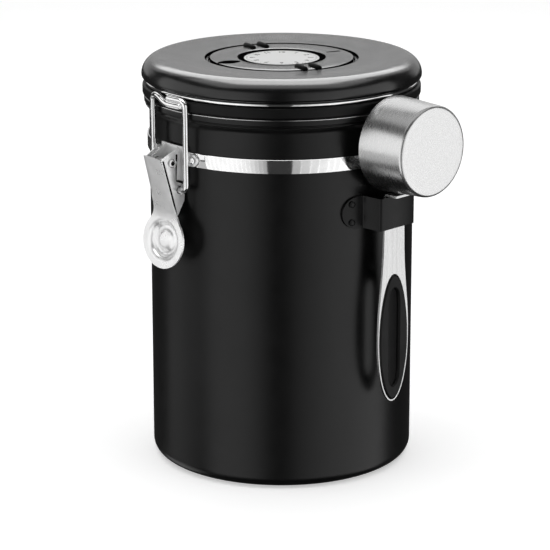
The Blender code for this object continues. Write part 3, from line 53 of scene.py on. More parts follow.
# Canister body
BODY_R = 60.0
BODY_WALL = 0.8
FOOT_ROUND = 5.5
FLARE_BASE = 161.5
FLARE_RISE = 3.6
FLARE_OUT = 1.9
MOUTH_R = 58.6
MOUTH_OUTER_R = 59.4
MOUTH_BASE = 165.5
RIM_TOP = 169.0
RIM_CHAMFER = 0.5
FLANGE_R = 62.3
FLANGE_BASE = 166.3
ROLL_BASE = 165.8
ROLL_OUTER_R = 61.4
ROLL_INNER_R = 60.6
ROLL_HOLLOW_R = 61.5
ROLL_HOLLOW_BASE = 167.1
ROLL_HOLLOW_TOP = 168.2
BODY_EASE = 0.35
RIM_BEAD = 0.3
RIM_BEAD_DROP = 0.25
RIM_BEAD_INSET = 0.24

# Neck band
BAND_TOP = 151.2
BAND_BASE = 145.0
BAND_R = 61.0
BAND_INNER_R = 60.3
BAND_EASE = 0.25

# Latch lever: its face leans in from the top to the fold, and the finger disc leans out below it
LEVER_TOP = 148.8
LEVER_TOP_HALF = 6.55
NECK_Z = 130.0
NECK_HALF = 7.2
NECK_CURVE = 2.6
FACE_LEAN = math.radians(14.9)
FOLD_RHO = 65.97
FOLD_Z = 121.8
FOLD_ROUND = 0.4
LEVER_SHEET = 0.9
FACE_CURL = 0.35
FACE_CURL_POWER = 6
FACE_BEVEL = 0.2
FACE_COLUMNS = 72
DISC_LEAN = math.radians(9)
DISC_Z = 110.6
DISC_HALF = 14.6
DISC_RISE = 12.3
DISC_SHOULDER = 8.3

# The disc's bowl as (share of the way from its middle to its edge, depth)
DISC_DEPTHS = (
    (0.0, 0.7),
    (0.24, 0.8),
    (0.34, 1.35),
    (0.42, 2.1),
    (0.50, 2.35),
    (0.60, 1.6),
    (0.70, 0.4),
    (0.76, 0.0),
)

# Latch lever's side walls, seen from the side as (distance from the axis, height)
PIN_PLACE = (66.8, 146.6)
PIN_HOLE = 1.3
LINK_PIVOT = (63.2, 134.2)
LINK_HOLE = 1.75
WALL_CREST = 4.7
WALL_CREST_FROM = math.radians(80)
WALL_CREST_TO = math.radians(123)
WALL_CORNER = (72.0, 148.6)
WALL_WAIST = (65.0, 138.2)
WALL_BOSS = 3.0
WALL_BOSS_FROM = math.radians(110)
WALL_FOOT = ((60.7, 129.1), (62.8, 125.4), (63.9, 123.3), (64.9, 122.2), (65.25, 122.6))
WALL_BASE = 122.6
WALL_TOP = 147.6
WALL_BEHIND_FACE = 1.15
WALL_INSET = 0.3
WALL_SHEET = 0.75
# Painted shade: a dark line along each fold between the face and a side wall
FOLD_SHADE_BASE = 122.4
FOLD_SHADE_TOP = 148.0
FOLD_SHADE_BEHIND_FACE = 1.2
FOLD_SHADE_INSET = 0.2
FOLD_SHADE_RADIUS = 0.5
# Painted shade: a dark line in the gap behind each side wall
REAR_SHADE_TOP = (64.2, 150.0)
REAR_SHADE_FOOT = (64.9, 138.4)
REAR_SHADE_HALF = 6.2
REAR_SHADE_RADIUS = 0.42

# Latch pin, measured from its middle: the section of its hollow heads is (radius, distance)
PIN_R = 1.1
PIN_HALF = 6.4
HEAD_R = 2.0
HEAD_BASE = 6.35
HEAD_TOP = 7.2
HEAD_EASE = 0.15
HOLLOW_R = 1.0
HOLLOW_FLOOR = 6.45
# Painted shade: a thin matte black disc on the floor of each head's hollow
HOLLOW_SHADE_THICK = 0.05
PIN_HEAD = (
    (0, HOLLOW_FLOOR),
    (HOLLOW_R, HOLLOW_FLOOR),
    (HOLLOW_R, 7.1),
    (1.15, HEAD_TOP),
    (1.6, HEAD_TOP),
    (HEAD_R, 7.0),
    (HEAD_R, 6.5),
    (1.2, HEAD_BASE),
    (0, HEAD_BASE),
)

# Link wire: its free end steps out and down past the other end
LINK_R = 64.55
LINK_WIRE = 1.35
LINK_TOP = 174.5
LINK_HALF = 11.8
LINK_BEND = 3.0
LINK_GAP_HALF = 1.0
LINK_END = 10.0
LINK_STEP_OUT = 0.9
LINK_STEP_DOWN = 2.45
LINK_STEP_SHARE = 0.62

# Lid
LID_R = 63.4
LID_TOP = 185.9
LIP_BASE = 176.4
LIP_R = 60.4
LIP_ROUND = 1.8
SHOULDER_R = 7.7
CROWN_RISE = 0.9
CROWN_WIDTH = 18.0
SHEET = 1.2
WELL_TOP = 185.0
WELL_FLOOR = 183.0
WELL_R = 34.8
WELL_CHAMFER = 0.08
WELL_CORE_R = 33.3
CROWN_INNER_R = 37.7

# Wire ring under the lid: its ends run back beside the hinge and meet in the bracket's eye
RING_Z = 175.3
RING_R = 60.9
RING_WIRE = 1.0
HINGE_Y = 67.0
AXLE_HALF = 6.8
AXLE_BEND = 2.0
AXLE_HALF_BAR = 2.4
AXLE_LEG = (61.5, 63.5)
HOOK_R = 62.5
HOOK_WIRE = 0.5
HOOK_LEFT = 3.0
HOOK_RIGHT = 6.0

# Gasket and liner
GASKET_TOP = 174.2
GASKET_BASE = 169.3
GASKET_R = 63.0
GASKET_INNER_R = 56.9
GASKET_ROUND = 1.2
LINER_TOP = 181.5
LINER_BEVEL_BASE = 178.7
LINER_HEAD_BASE = 174.5
LINER_ROOF = 177.3
LINER_NECK_BASE = 169.0
LINER_BASE = 164.5
LINER_HEAD_R = 59.8
LINER_TOP_R = 57.0
LINER_NECK_R = 56.6
LINER_SKIRT_R = 57.4
LINER_INNER_R = 54.6
LINER_VALVE_R = 14.5
LINER_EASE = 0.6

# Dial: bezel and face, turned as the canister stands in the picture
DIAL_FLOOR = 183.3
DIAL_TURN = math.radians(51)
BEZEL_R = 19.7
BEZEL_CORE_R = 18.9
BEZEL_INNER_R = 17.1
BEZEL_EASE = 0.1
BEZEL = (
    (BEZEL_R, 185.05),
    (BEZEL_R, 184.5),
    (BEZEL_CORE_R, 184.499),
    (BEZEL_CORE_R, DIAL_FLOOR),
    (BEZEL_INNER_R, DIAL_FLOOR),
    (BEZEL_INNER_R, 184.66),
    (19.4, 185.1),
)
FACE_TOP = 184.68
FACE_R = 17.05
FACE_EASE = 0.2

# Date ring: its plate and grip ribs
DATE_RING_R = 32.7
PLATE_R = 32.4
PLATE_INNER_R = 20.1
PLATE_LEDGE_R = 19.3
PLATE_LEDGE = 184.2
PLATE_EASE = 0.08
RIB_R = 1.45
RIB_LENGTH = 10.5
RIB_MIDDLE = 28.25
RIB_Z = 185.05
RIB_HALF_PITCH = 3.35
RIB_BEARING = math.radians(75.5)

# Pointer, printed on the date ring: a leaf and, opposite it, a tail
POINTER_BEARING = math.radians(-10.6)
LEAF_HALF = 3.5
LEAF_LENGTH = 11.4
LEAF_INSET = 0.25
LEAF_FULLNESS = 0.6
TAIL_OUTER_R = 30.2
TAIL_INNER_R = 23.2
TAIL_OUTER_HALF = 0.9
TAIL_INNER_HALF = 0.7
PRINT_DEPTH = 0.5
PRINT_RISE = 0.02

# Painted shade: a dark sheet lining the groove round the date ring, and another round the ring's edge
GROOVE_SHADE_SHEET = 0.12
GROOVE_SHADE_R = 34.65
GROOVE_SHADE_TOP = 184.98
GROOVE_SHADE_FLOOR = 183.02
GROOVE_SHADE_LIFT = 0.1
GROOVE_SHADE_INNER_R = 32.8
EDGE_SHADE_INNER_R = 32.35
EDGE_SHADE_R = 32.5
EDGE_SHADE_TOP = 184.99

# Numbers and ticks, printed on the dial's face
NUMBER_R = 13.0
NUMBER_SIZE = 3.4
NUMBER_BOLD = 0.07
NUMBER_THICK = 0.02
HOURS = 12
TICKS_PER_HOUR = 5
TICK_END_R = 16.2
TICK_WIDTH = 0.22
TICK_THICK = 0.04
LONG_TICK = 1.0
SHORT_TICK = 0.6
PRINT_LIFT = 0.01

# Scoop cup, in its own axes: its mouth is at zero and its closed end is at the depth
SCOOP_BEARING = math.radians(97.5)
CUP_RHO = 66.9
CUP_Z = 155.5
CUP_TURN = math.radians(-3)
CUP_DEPTH = 24.3
CUP_MOUTH_R = 21.2
CUP_END_R = 20.1
CUP_ROUND = 1.8
CUP_WALL = 0.8
CUP_FLAT_R = 16.5
CUP_INNER_CORNER = (19.35, 22.4)
CUP_DRAFT = math.radians(3)
CUP_PLACE = (
    Matrix.Rotation(SCOOP_BEARING, 4, "Z")
    @ Matrix.Translation((0, -CUP_RHO * MM, CUP_Z * MM))
    @ Matrix.Rotation(CUP_TURN, 4, "Z")
    @ Matrix.Rotation(QUARTER, 4, "X")
)

# Edge softening
FINE_BEVEL = 0.12
BRACKET_BEVEL = 0.15
GRIP_BEVEL = 0.2
MOST_OF_EDGE = 0.45

# A wire's domed end, as (reach beyond the end, size) in radii of the wire
END_DOME = ((0.21, 0.94), (0.45, 0.66), (0.582, 0.24))

# How finely round pieces are divided
BODY_STEPS = 160
DIAL_STEPS = 128
SMALL_STEPS = 64
WIRE_SIDES = 20
BEAD_SIDES = 12


# Materials

# Noise scales are in cycles per metre, and depths are in metres
MOTTLE_SCALE = 60
SMEAR_SCALE = 120
GRAIN_DEPTH = 0.00004
BRUSH_DEPTH = 0.00002
BRUSH_SWEEP = 0.0012
BRUSH_SCALE = 2600


def grey(value, lift=0.0):
    """A grey, whose blue can be raised or lowered a little."""
    return (value, value, value + lift)


def shader_material(name, colour, roughness, metallic=0.0, specular=0.5):
    """A plain material, with its node tree and its shader node."""
    material = bpy.data.materials.new(name)
    material.use_nodes = True
    shader = material.node_tree.nodes["Principled BSDF"]
    shader.inputs["Base Color"].default_value = (*colour, 1)
    shader.inputs["Roughness"].default_value = roughness
    shader.inputs["Metallic"].default_value = metallic
    shader.inputs["Specular IOR Level"].default_value = specular
    return material, material.node_tree, shader


def noise(tree, scale, detail, stretch=None):
    """A noise texture in the piece's own coordinates, in cycles per metre, stretched if asked."""
    coords = tree.nodes.new("ShaderNodeTexCoord")
    texture = tree.nodes.new("ShaderNodeTexNoise")
    texture.inputs["Scale"].default_value = scale
    texture.inputs["Detail"].default_value = detail
    vector = coords.outputs["Object"]
    if stretch is not None:
        mapping = tree.nodes.new("ShaderNodeMapping")
        mapping.inputs["Scale"].default_value = stretch
        tree.links.new(vector, mapping.inputs["Vector"])
        vector = mapping.outputs["Vector"]
    tree.links.new(vector, texture.inputs["Vector"])
    return texture.outputs["Fac"]


def spread(tree, value, low, high, into):
    """Maps a noise value to a range and links it into a socket."""
    mapped = tree.nodes.new("ShaderNodeMapRange")
    mapped.inputs["From Min"].default_value = 0.3
    mapped.inputs["From Max"].default_value = 0.7
    mapped.inputs["To Min"].default_value = low
    mapped.inputs["To Max"].default_value = high
    tree.links.new(value, mapped.inputs["Value"])
    tree.links.new(mapped.outputs["Result"], into)


def tint(tree, value, dark, light, into):
    """Blends two colours by a noise value and links the result into a socket."""
    ramp = tree.nodes.new("ShaderNodeValToRGB")
    ramp.color_ramp.elements[0].position = 0.35
    ramp.color_ramp.elements[1].position = 0.65
    ramp.color_ramp.elements[0].color = (*dark, 1)
    ramp.color_ramp.elements[1].color = (*light, 1)
    tree.links.new(value, ramp.inputs["Fac"])
    tree.links.new(ramp.outputs["Color"], into)


def bump(tree, value, shader, strength, distance):
    """Raises the surface by a noise value, up to a distance in metres."""
    node = tree.nodes.new("ShaderNodeBump")
    node.inputs["Strength"].default_value = strength
    node.inputs["Distance"].default_value = distance
    tree.links.new(value, node.inputs["Height"])
    tree.links.new(node.outputs["Normal"], shader.inputs["Normal"])


def paint(name, dark, light, roughness, grain, strength, specular=0.5):
    """A sprayed coat: faint mottling, and a fine grain that breaks up its gloss."""
    material, tree, shader = shader_material(name, dark, roughness[0], specular=specular)
    tint(tree, noise(tree, MOTTLE_SCALE, 4), dark, light, shader.inputs["Base Color"])
    spread(tree, noise(tree, SMEAR_SCALE, 5), *roughness, shader.inputs["Roughness"])
    bump(tree, noise(tree, grain, 3), shader, strength, GRAIN_DEPTH)
    return material


def metal(name, dark, light, roughness, scale, strength, stretch=(1, 1, 1), metallic=1.0):
    """Bare steel with faint smears and, where it is stretched, fine brushed lines."""
    material, tree, shader = shader_material(name, light, roughness[0], metallic)
    lines = noise(tree, scale, 6, stretch)
    tint(tree, lines, dark, light, shader.inputs["Base Color"])
    spread(tree, noise(tree, scale / 2, 5, stretch), *roughness, shader.inputs["Roughness"])
    bump(tree, lines, shader, strength, BRUSH_DEPTH)
    return material


def vector_node(tree, operation, value):
    """A node that does one operation on a vector."""
    node = tree.nodes.new("ShaderNodeVectorMath")
    node.operation = operation
    tree.links.new(value, node.inputs[0])
    return node


def joined(tree, x=None, y=None, z=None):
    """A vector made of the sockets that are given."""
    node = tree.nodes.new("ShaderNodeCombineXYZ")
    for axis, value in (("X", x), ("Y", y), ("Z", z)):
        if value is not None:
            tree.links.new(value, node.inputs[axis])
    return node.outputs["Vector"]


def split(tree, vector):
    """The sockets of a vector's three parts."""
    node = tree.nodes.new("ShaderNodeSeparateXYZ")
    tree.links.new(vector, node.inputs["Vector"])
    return node.outputs


def brushed_about_axis(name, dark, light, roughness, strength):
    """Steel brushed round the cup's axis: the lines follow circles on its side and its end."""
    material, tree, shader = shader_material(name, light, roughness[0], 1.0)
    coords = tree.nodes.new("ShaderNodeTexCoord")
    own_axes = tree.nodes.new("ShaderNodeMapping")
    back = CUP_PLACE.inverted()
    own_axes.inputs["Location"].default_value = back.to_translation()
    own_axes.inputs["Rotation"].default_value = back.to_euler("XYZ")
    tree.links.new(coords.outputs["Object"], own_axes.inputs["Vector"])
    parts = split(tree, own_axes.outputs["Vector"])
    flat = joined(tree, parts["X"], parts["Y"])
    length = vector_node(tree, "LENGTH", flat)
    unit = vector_node(tree, "NORMALIZE", flat)
    slow = vector_node(tree, "SCALE", unit.outputs["Vector"])
    slow.inputs["Scale"].default_value = BRUSH_SWEEP
    swept = split(tree, slow.outputs["Vector"])
    path = tree.nodes.new("ShaderNodeMath")
    path.operation = "ADD"
    tree.links.new(length.outputs["Value"], path.inputs[0])
    tree.links.new(parts["Z"], path.inputs[1])
    texture = tree.nodes.new("ShaderNodeTexNoise")
    texture.inputs["Scale"].default_value = BRUSH_SCALE
    texture.inputs["Detail"].default_value = 4
    line = joined(tree, swept["X"], swept["Y"], path.outputs["Value"])
    tree.links.new(line, texture.inputs["Vector"])
    lines = texture.outputs["Fac"]
    tint(tree, lines, dark, light, shader.inputs["Base Color"])
    spread(tree, lines, *roughness, shader.inputs["Roughness"])
    bump(tree, lines, shader, strength, BRUSH_DEPTH)
    return material


COOL = 0.0001
WARM = -0.004
BODY_PAINT = paint("satin_black", grey(0.0014, COOL), grey(0.0022, COOL), (0.29, 0.34), 2600, 0.08, 0.32)
LID_PAINT = paint("lid_black", grey(0.0016, COOL), grey(0.0026, COOL), (0.20, 0.26), 2000, 0.05)
BRACKET_PAINT = paint(
    "bracket_black", grey(0.0020, COOL), grey(0.0034, COOL), (0.26, 0.36), 2400, 0.10, 0.22
)
PLASTIC = paint("moulded_black", grey(0.0020, COOL), grey(0.0034, COOL), (0.28, 0.38), 1800, 0.12)
# Matte black, used only for the painted shade in the pin heads' hollows
SHADE_MATTE = paint("matte_black", grey(0.0016), grey(0.0024), (0.80, 0.90), 1500, 0.10, 0.08)
SILICONE = paint("silicone_black", grey(0.0018, COOL), grey(0.0030, COOL), (0.38, 0.50), 1500, 0.12, 0.2)
VALVE_PLASTIC = paint("valve_grey", grey(0.26), grey(0.32), (0.45, 0.55), 1500, 0.10)
WHITE = paint("dial_white", grey(0.66, WARM), grey(0.69, WARM), (0.45, 0.55), 1500, 0.05, 0.2)
PRINT = paint("dial_print", grey(0.03), grey(0.05), (0.5, 0.6), 1500, 0.05, 0.2)
RIB_BLACK = paint("rib_black", grey(0.0014), grey(0.0020), (0.34, 0.42), 1500, 0.05, 0.05)
# Flat black for the bezel and the printed pointer, and for the painted shade in the lever's folds and
# the date ring's groove
INK_AND_SHADE = paint("flat_black", grey(0.0016), grey(0.0026), (0.90, 0.95), 1500, 0.05, 0.0)
POLISHED = metal("polished_steel", grey(0.82), grey(0.90), (0.05, 0.10), 160, 0.02)
PRESSED = metal("pressed_steel", grey(0.78), grey(0.86), (0.12, 0.19), 300, 0.03)
SATIN = metal("satin_steel", grey(0.86), grey(0.92), (0.26, 0.32), 260, 0.02, metallic=0.72)
RIM_STEEL = metal("rim_steel", grey(0.56), grey(0.66), (0.16, 0.24), 300, 0.02)
STRIP = metal("brushed_strip", grey(0.60), grey(0.70), (0.20, 0.30), 500, 0.08, (5, 5, 0.12))
BRUSHED = brushed_about_axis("brushed_cup", grey(0.68), grey(0.73), (0.25, 0.29), 0.012)


# Mesh helpers


def show(name, mesh, material, body, slot, replaced=(), bevel=None):
    """A smooth-shaded piece that rides on a body and stands for CAD nodes."""
    mesh.materials.clear()
    mesh.materials.append(material)
    mesh.shade_smooth()
    mesh.set_sharp_from_angle(angle=CREASE)
    obj = bpy.data.objects.new(name, mesh)
    bpy.context.scene.collection.objects.link(obj)
    if bevel:
        modifier = obj.modifiers.new("edge", "BEVEL")
        modifier.width = bevel * MM
        modifier.segments = 2
        modifier.limit_method = "ANGLE"
        modifier.angle_limit = CREASE
        modifier.harden_normals = True
        modifier.use_clamp_overlap = True
    bpy.context.view_layer.update()
    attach(obj, body)
    if replaced:
        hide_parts(*replaced)
    return obj


def finished(work, name):
    """Turns the work into a mesh whose faces point outwards."""
    bmesh.ops.recalc_face_normals(work, faces=work.faces)
    mesh = bpy.data.meshes.new(name)
    work.to_mesh(mesh)
    work.free()
    return mesh


def arc(centre, radius, start, end, count):
    """Points along an arc, with both of its ends."""
    points = []
    for index in range(count + 1):
        angle = start + (end - start) * index / count
        points.append((centre[0] + radius * math.cos(angle), centre[1] + radius * math.sin(angle)))
    return points


def eased(profile, radius, count=3, sharpest=math.radians(25)):
    """The closed profile with each of its corners rounded, as far as its neighbours leave room."""
    result = []
    total = len(profile)
    for index, point in enumerate(profile):
        here = Vector(point)
        before = Vector(profile[index - 1]) - here
        after = Vector(profile[(index + 1) % total]) - here
        if here.x == 0 or before.length < TINY or after.length < TINY:
            result.append(tuple(here))
            continue
        bend = math.pi - before.angle(after)
        if bend < sharpest:
            result.append(tuple(here))
            continue
        room = MOST_OF_EDGE * min(before.length, after.length)
        cut = min(radius * math.tan(bend / 2), room)
        start = here + before.normalized() * cut
        end = here + after.normalized() * cut
        for step in range(count + 1):
            share = step / count
            place = start * (1 - share) ** 2 + here * 2 * share * (1 - share) + end * share**2
            result.append(tuple(place))
    return result


def turned(profile, steps, name):
    """A mesh turned about Z from a closed section of (radius, height) points in millimetres."""
    work = bmesh.new()
    rings = []
    for radius, height in profile:
        if radius < TINY:
            rings.append([work.verts.new((0, 0, height * MM))])
            continue
        ring = []
        for index in range(steps):
            angle = FULL_TURN * index / steps
            place = (radius * MM * math.cos(angle), radius * MM * math.sin(angle), height * MM)
            ring.append(work.verts.new(place))
        rings.append(ring)
    for index, ring in enumerate(rings):
        other = rings[(index + 1) % len(rings)]
        if len(ring) == 1 and len(other) == 1:
            continue
        for step in range(steps):
            following = (step + 1) % steps
            corners = [
                ring[step % len(ring)],
                ring[following % len(ring)],
                other[following % len(other)],
                other[step % len(other)],
            ]
            unique = list(dict.fromkeys(corners))
            if len(unique) > 2:
                work.faces.new(unique)
    return finished(work, name)


def tube(points, radius, name, cyclic=False, sides=WIRE_SIDES):
    """A round wire through points in millimetres, with domed ends where it is open."""
    path = [Vector(point) for point in points]
    count = len(path)
    work = bmesh.new()
    directions = []
    for index in range(count):
        if cyclic:
            direction = path[(index + 1) % count] - path[index - 1]
        else:
            direction = path[min(index + 1, count - 1)] - path[max(index - 1, 0)]
        directions.append(direction.normalized())
    side = directions[0].orthogonal().normalized()
    stations = []
    for point, direction in zip(path, directions):
        side = (side - direction * side.dot(direction)).normalized()
        stations.append((point, direction, side, radius))
    if not cyclic:
        first, last = stations[0], stations[-1]
        for reach, share in END_DOME:
            before = first[0] - first[1] * radius * reach
            beyond = last[0] + last[1] * radius * reach
            stations.insert(0, (before, *first[1:3], radius * share))
            stations.append((beyond, *last[1:3], radius * share))
    rings = []
    for point, direction, side, size in stations:
        other = direction.cross(side)
        ring = []
        for index in range(sides):
            angle = FULL_TURN * index / sides
            place = point + side * size * math.cos(angle) + other * size * math.sin(angle)
            ring.append(work.verts.new(place * MM))
        rings.append(ring)
    total = len(rings)
    shift = 0
    if cyclic:
        end_side = stations[-1][2]
        start_side = stations[0][2]
        direction = stations[0][1]
        angle = math.atan2(direction.cross(start_side).dot(end_side), start_side.dot(end_side))
        shift = round(angle / FULL_TURN * sides)
    for index in range(total if cyclic else total - 1):
        ring = rings[index]
        other = rings[(index + 1) % total]
        turn = shift if index == total - 1 else 0
        for corner in range(sides):
            beyond = (corner + 1) % sides
            opposite = (other[(beyond + turn) % sides], other[(corner + turn) % sides])
            work.faces.new((ring[corner], ring[beyond], *opposite))
    if not cyclic:
        work.faces.new(rings[0][::-1])
        work.faces.new(rings[-1])
    return finished(work, name)


# A solid's points within this distance, in metres, are welded, and edges flatter than this are removed
WELD = 0.000004
FLAT_ANGLE = math.radians(0.5)


def refined(node, name):
    """The CAD node's shape as one welded mesh, for smooth shading and softened edges."""
    work = bmesh.new()
    work.from_mesh(nodes[node].data)
    bmesh.ops.remove_doubles(work, verts=work.verts, dist=WELD)
    bmesh.ops.dissolve_limit(work, angle_limit=FLAT_ANGLE, verts=work.verts, edges=work.edges)
    return finished(work, name)


def smooth(share):
    """Eases a share from 0 to 1 in and out."""
    return share * share * (3 - 2 * share)


def along(start, end, count):
    """The points that split a line into equal parts, without its ends."""
    points = []
    for step in range(1, count):
        share = step / count
        points.append(tuple(near + (far - near) * share for near, far in zip(start, end)))
    return points


def at_height(points, height):
    """Points in plan, raised to a height."""
    return [(x, y, height) for x, y in points]


def bar_section(radius, top, base):
    """The closed section of a round bar."""
    return [(0, top), (radius, top), (radius, base), (0, base)]


def ring_section(outer, inner, top, base):
    """The closed section of a plain ring."""
    return [(outer, top), (outer, base), (inner, base), (inner, top)]


def show_turned(name, profile, steps, material, body, slot, replaced=()):
    """A piece that is turned about the canister's axis from a closed section."""
    return show(name, turned(profile, steps, name), material, body, slot, replaced)


def show_refined(node, material, body, slot, bevel=FINE_BEVEL, name=None):
    """A piece that keeps the shape of its CAD node, with softened edges."""
    name = name or node + "_fine"
    return show(name, refined(node, name), material, body, slot, [node], bevel=bevel)


# Canister


def body_section():
    """The wall's closed section: flared neck with its rolled rim, round foot, and back up inside."""
    foot = (BODY_R - FOOT_ROUND, FOOT_ROUND)
    flare = []
    for step in range(8, -1, -1):
        share = step / 8
        flare.append((BODY_R + FLARE_OUT * share**2, FLARE_BASE + FLARE_RISE * share))
    outer = [
        (MOUTH_R, MOUTH_BASE),
        (MOUTH_R, RIM_TOP - RIM_CHAMFER),
        (MOUTH_R + RIM_CHAMFER, RIM_TOP),
        (FLANGE_R - RIM_CHAMFER, RIM_TOP),
        (FLANGE_R, RIM_TOP - RIM_CHAMFER),
        (FLANGE_R, FLANGE_BASE),
        (ROLL_OUTER_R, ROLL_BASE),
        *flare,
        *arc(foot, FOOT_ROUND, 0, -QUARTER, 12),
        (0, 0),
    ]
    inner = [
        (0, BODY_WALL),
        *arc(foot, FOOT_ROUND - BODY_WALL, -QUARTER, 0, 8),
        (BODY_R - BODY_WALL, FLARE_BASE),
        (ROLL_INNER_R, ROLL_BASE),
        (ROLL_HOLLOW_R, ROLL_HOLLOW_BASE),
        (ROLL_HOLLOW_R, ROLL_HOLLOW_TOP),
        (MOUTH_OUTER_R, ROLL_HOLLOW_TOP),
        (MOUTH_OUTER_R, MOUTH_BASE),
    ]
    return outer + inner


def rim_bead():
    """A thin bright wire along the top edge of the rolled rim."""
    circle = arc((0, 0), FLANGE_R - RIM_BEAD_INSET, 0, FULL_TURN, BODY_STEPS)[:-1]
    path = at_height(circle, RIM_TOP - RIM_BEAD_DROP)
    return tube(path, RIM_BEAD, "rim_bead", cyclic=True, sides=BEAD_SIDES)


body_profile = eased(body_section(), BODY_EASE)
show_turned(
    "body_shell", body_profile, BODY_STEPS, BODY_PAINT, "canister", "body_paint", ["canister_body"]
)
band_profile = eased(ring_section(BAND_R, BAND_INNER_R, BAND_TOP, BAND_BASE), BAND_EASE)
show_turned(
    "band_strip", band_profile, BODY_STEPS, POLISHED, "canister", "polished_steel", ["neck_band"]
)
show_refined("latch_anchor", SATIN, "canister", "pressed_steel")
show_refined("hinge_bracket", PRESSED, "canister", "pressed_steel")
show_refined("scoop_bracket", BRACKET_PAINT, "canister", "body_paint", BRACKET_BEVEL)
for rivet in ("anchor_rivet_1", "anchor_rivet_2", "hinge_rivet_1", "hinge_rivet_2"):
    show_refined(rivet, POLISHED, "canister", "polished_steel")
for number in range(1, 5):
    show_refined(f"bracket_rivet_{number}", BRACKET_PAINT, "canister", "body_paint")


# Latch lever


def lever_half(height):
    """The half width of the lever's front, which runs into the oval finger disc below."""
    shoulder = DISC_Z + DISC_SHOULDER
    if height > NECK_Z:
        share = (LEVER_TOP - height) / (LEVER_TOP - NECK_Z)
        return LEVER_TOP_HALF + (NECK_HALF - LEVER_TOP_HALF) * share
    if height < shoulder:
        across = 1 - ((height - DISC_Z) / DISC_RISE) ** 2
        return DISC_HALF * math.sqrt(max(0, across))
    corner = DISC_HALF * math.sqrt(1 - (DISC_SHOULDER / DISC_RISE) ** 2)
    share = (height - shoulder) / (NECK_Z - shoulder)
    return NECK_HALF + (corner - NECK_HALF) * (1 - share) ** NECK_CURVE


def lever_reach(height):
    """How far out the front face stands at a height, with a soft bend at the fold."""
    upper = FOLD_RHO + (height - FOLD_Z) * math.tan(FACE_LEAN)
    lower = FOLD_RHO - (height - FOLD_Z) * math.tan(DISC_LEAN)
    return (upper + lower) / 2 + math.hypot((upper - lower) / 2, FOLD_ROUND)


def bowl_depth(side, height):
    """How deep the disc is pressed in, with the raised dimple in its middle."""
    out = math.hypot(side / DISC_HALF, (height - DISC_Z) / DISC_RISE)
    for (near, deep), (far, shallow) in zip(DISC_DEPTHS, DISC_DEPTHS[1:]):
        if out < far:
            return deep + (shallow - deep) * smooth((out - near) / (far - near))
    return 0.0


def sheet_edge(grid):
    """The points round a sheet's edge, where the sheet's last row is one point."""
    right = [row[-1] for row in grid[1:-1]]
    left = [row[0] for row in grid[-2:0:-1]]
    return grid[0] + right + [grid[-1]] + left


def lever_sheet(work, inside):
    """Rows of points over the lever's face and disc, set back from the face by a depth."""
    rows = [LEVER_TOP - (LEVER_TOP - NECK_Z) * step / 10 for step in range(10)]
    rows += [NECK_Z - (NECK_Z - DISC_Z) * step / 44 for step in range(44)]
    rows += [DISC_Z - DISC_RISE * math.sin(QUARTER * step / 40) for step in range(40)]
    grid = []
    for height in rows:
        half = lever_half(height)
        row = []
        for column in range(FACE_COLUMNS + 1):
            side = half * math.sin(math.pi * (column / FACE_COLUMNS - 0.5))
            curl = FACE_CURL * (abs(side) / half) ** FACE_CURL_POWER if height > NECK_Z else 0.0
            reach = lever_reach(height) - bowl_depth(side, height) - inside - curl
            row.append(work.verts.new((side * MM, -reach * MM, height * MM)))
        grid.append(row)
    foot = DISC_Z - DISC_RISE
    grid.append(work.verts.new((0, -(lever_reach(foot) - inside) * MM, foot * MM)))
    return grid


def lever_front():
    """The lever's face and finger disc as one sheet."""
    work = bmesh.new()
    sheets = [lever_sheet(work, inside) for inside in (0.0, LEVER_SHEET)]
    for grid in sheets:
        for upper, lower in zip(grid[:-2], grid[1:-1]):
            for column in range(FACE_COLUMNS):
                work.faces.new((upper[column], upper[column + 1], lower[column + 1], lower[column]))
        for column in range(FACE_COLUMNS):
            work.faces.new((grid[-2][column], grid[-2][column + 1], grid[-1]))
    front, behind = (sheet_edge(grid) for grid in sheets)
    for index, corner in enumerate(front):
        beyond = (index + 1) % len(front)
        work.faces.new((corner, front[beyond], behind[beyond], behind[index]))
    return finished(work, "lever_front")


def flat_plate(outlines, name):
    """A flat plate of unit thickness from a closed outline, less the holes that follow it."""
    curve = bpy.data.curves.new(name, "CURVE")
    curve.dimensions = "2D"
    curve.fill_mode = "BOTH"
    curve.extrude = 0.5
    for outline in outlines:
        spline = curve.splines.new("POLY")
        spline.points.add(len(outline) - 1)
        for point, place in zip(spline.points, outline):
            point.co = (*place, 0, 1)
        spline.use_cyclic_u = True
    holder = bpy.data.objects.new(name, curve)
    mesh = bpy.data.meshes.new_from_object(holder)
    bpy.data.objects.remove(holder)
    bpy.data.curves.remove(curve)
    return mesh


def fold_half(height):
    """The half width of the lever at its folds, as far down as the walls go."""
    return min(lever_half(max(height, NECK_Z)), NECK_HALF)


def wall_outlines():
    """The side wall's outline and its two holes, as (distance from the axis, height) points."""
    outline = [WALL_CORNER]
    outline += arc(PIN_PLACE, WALL_CREST, WALL_CREST_FROM, WALL_CREST_TO, 8)
    outline += [WALL_WAIST]
    outline += arc(LINK_PIVOT, WALL_BOSS, WALL_BOSS_FROM, math.pi, 8)
    outline += WALL_FOOT
    for step in range(1, 8):
        height = WALL_BASE + (WALL_TOP - WALL_BASE) * step / 8
        outline.append((lever_reach(height) - WALL_BEHIND_FACE, height))
    pin_hole = arc(PIN_PLACE, PIN_HOLE, 0, FULL_TURN, 24)[:-1]
    link_hole = arc(LINK_PIVOT, LINK_HOLE, 0, FULL_TURN, 24)[:-1]
    return [outline, pin_hole, link_hole]


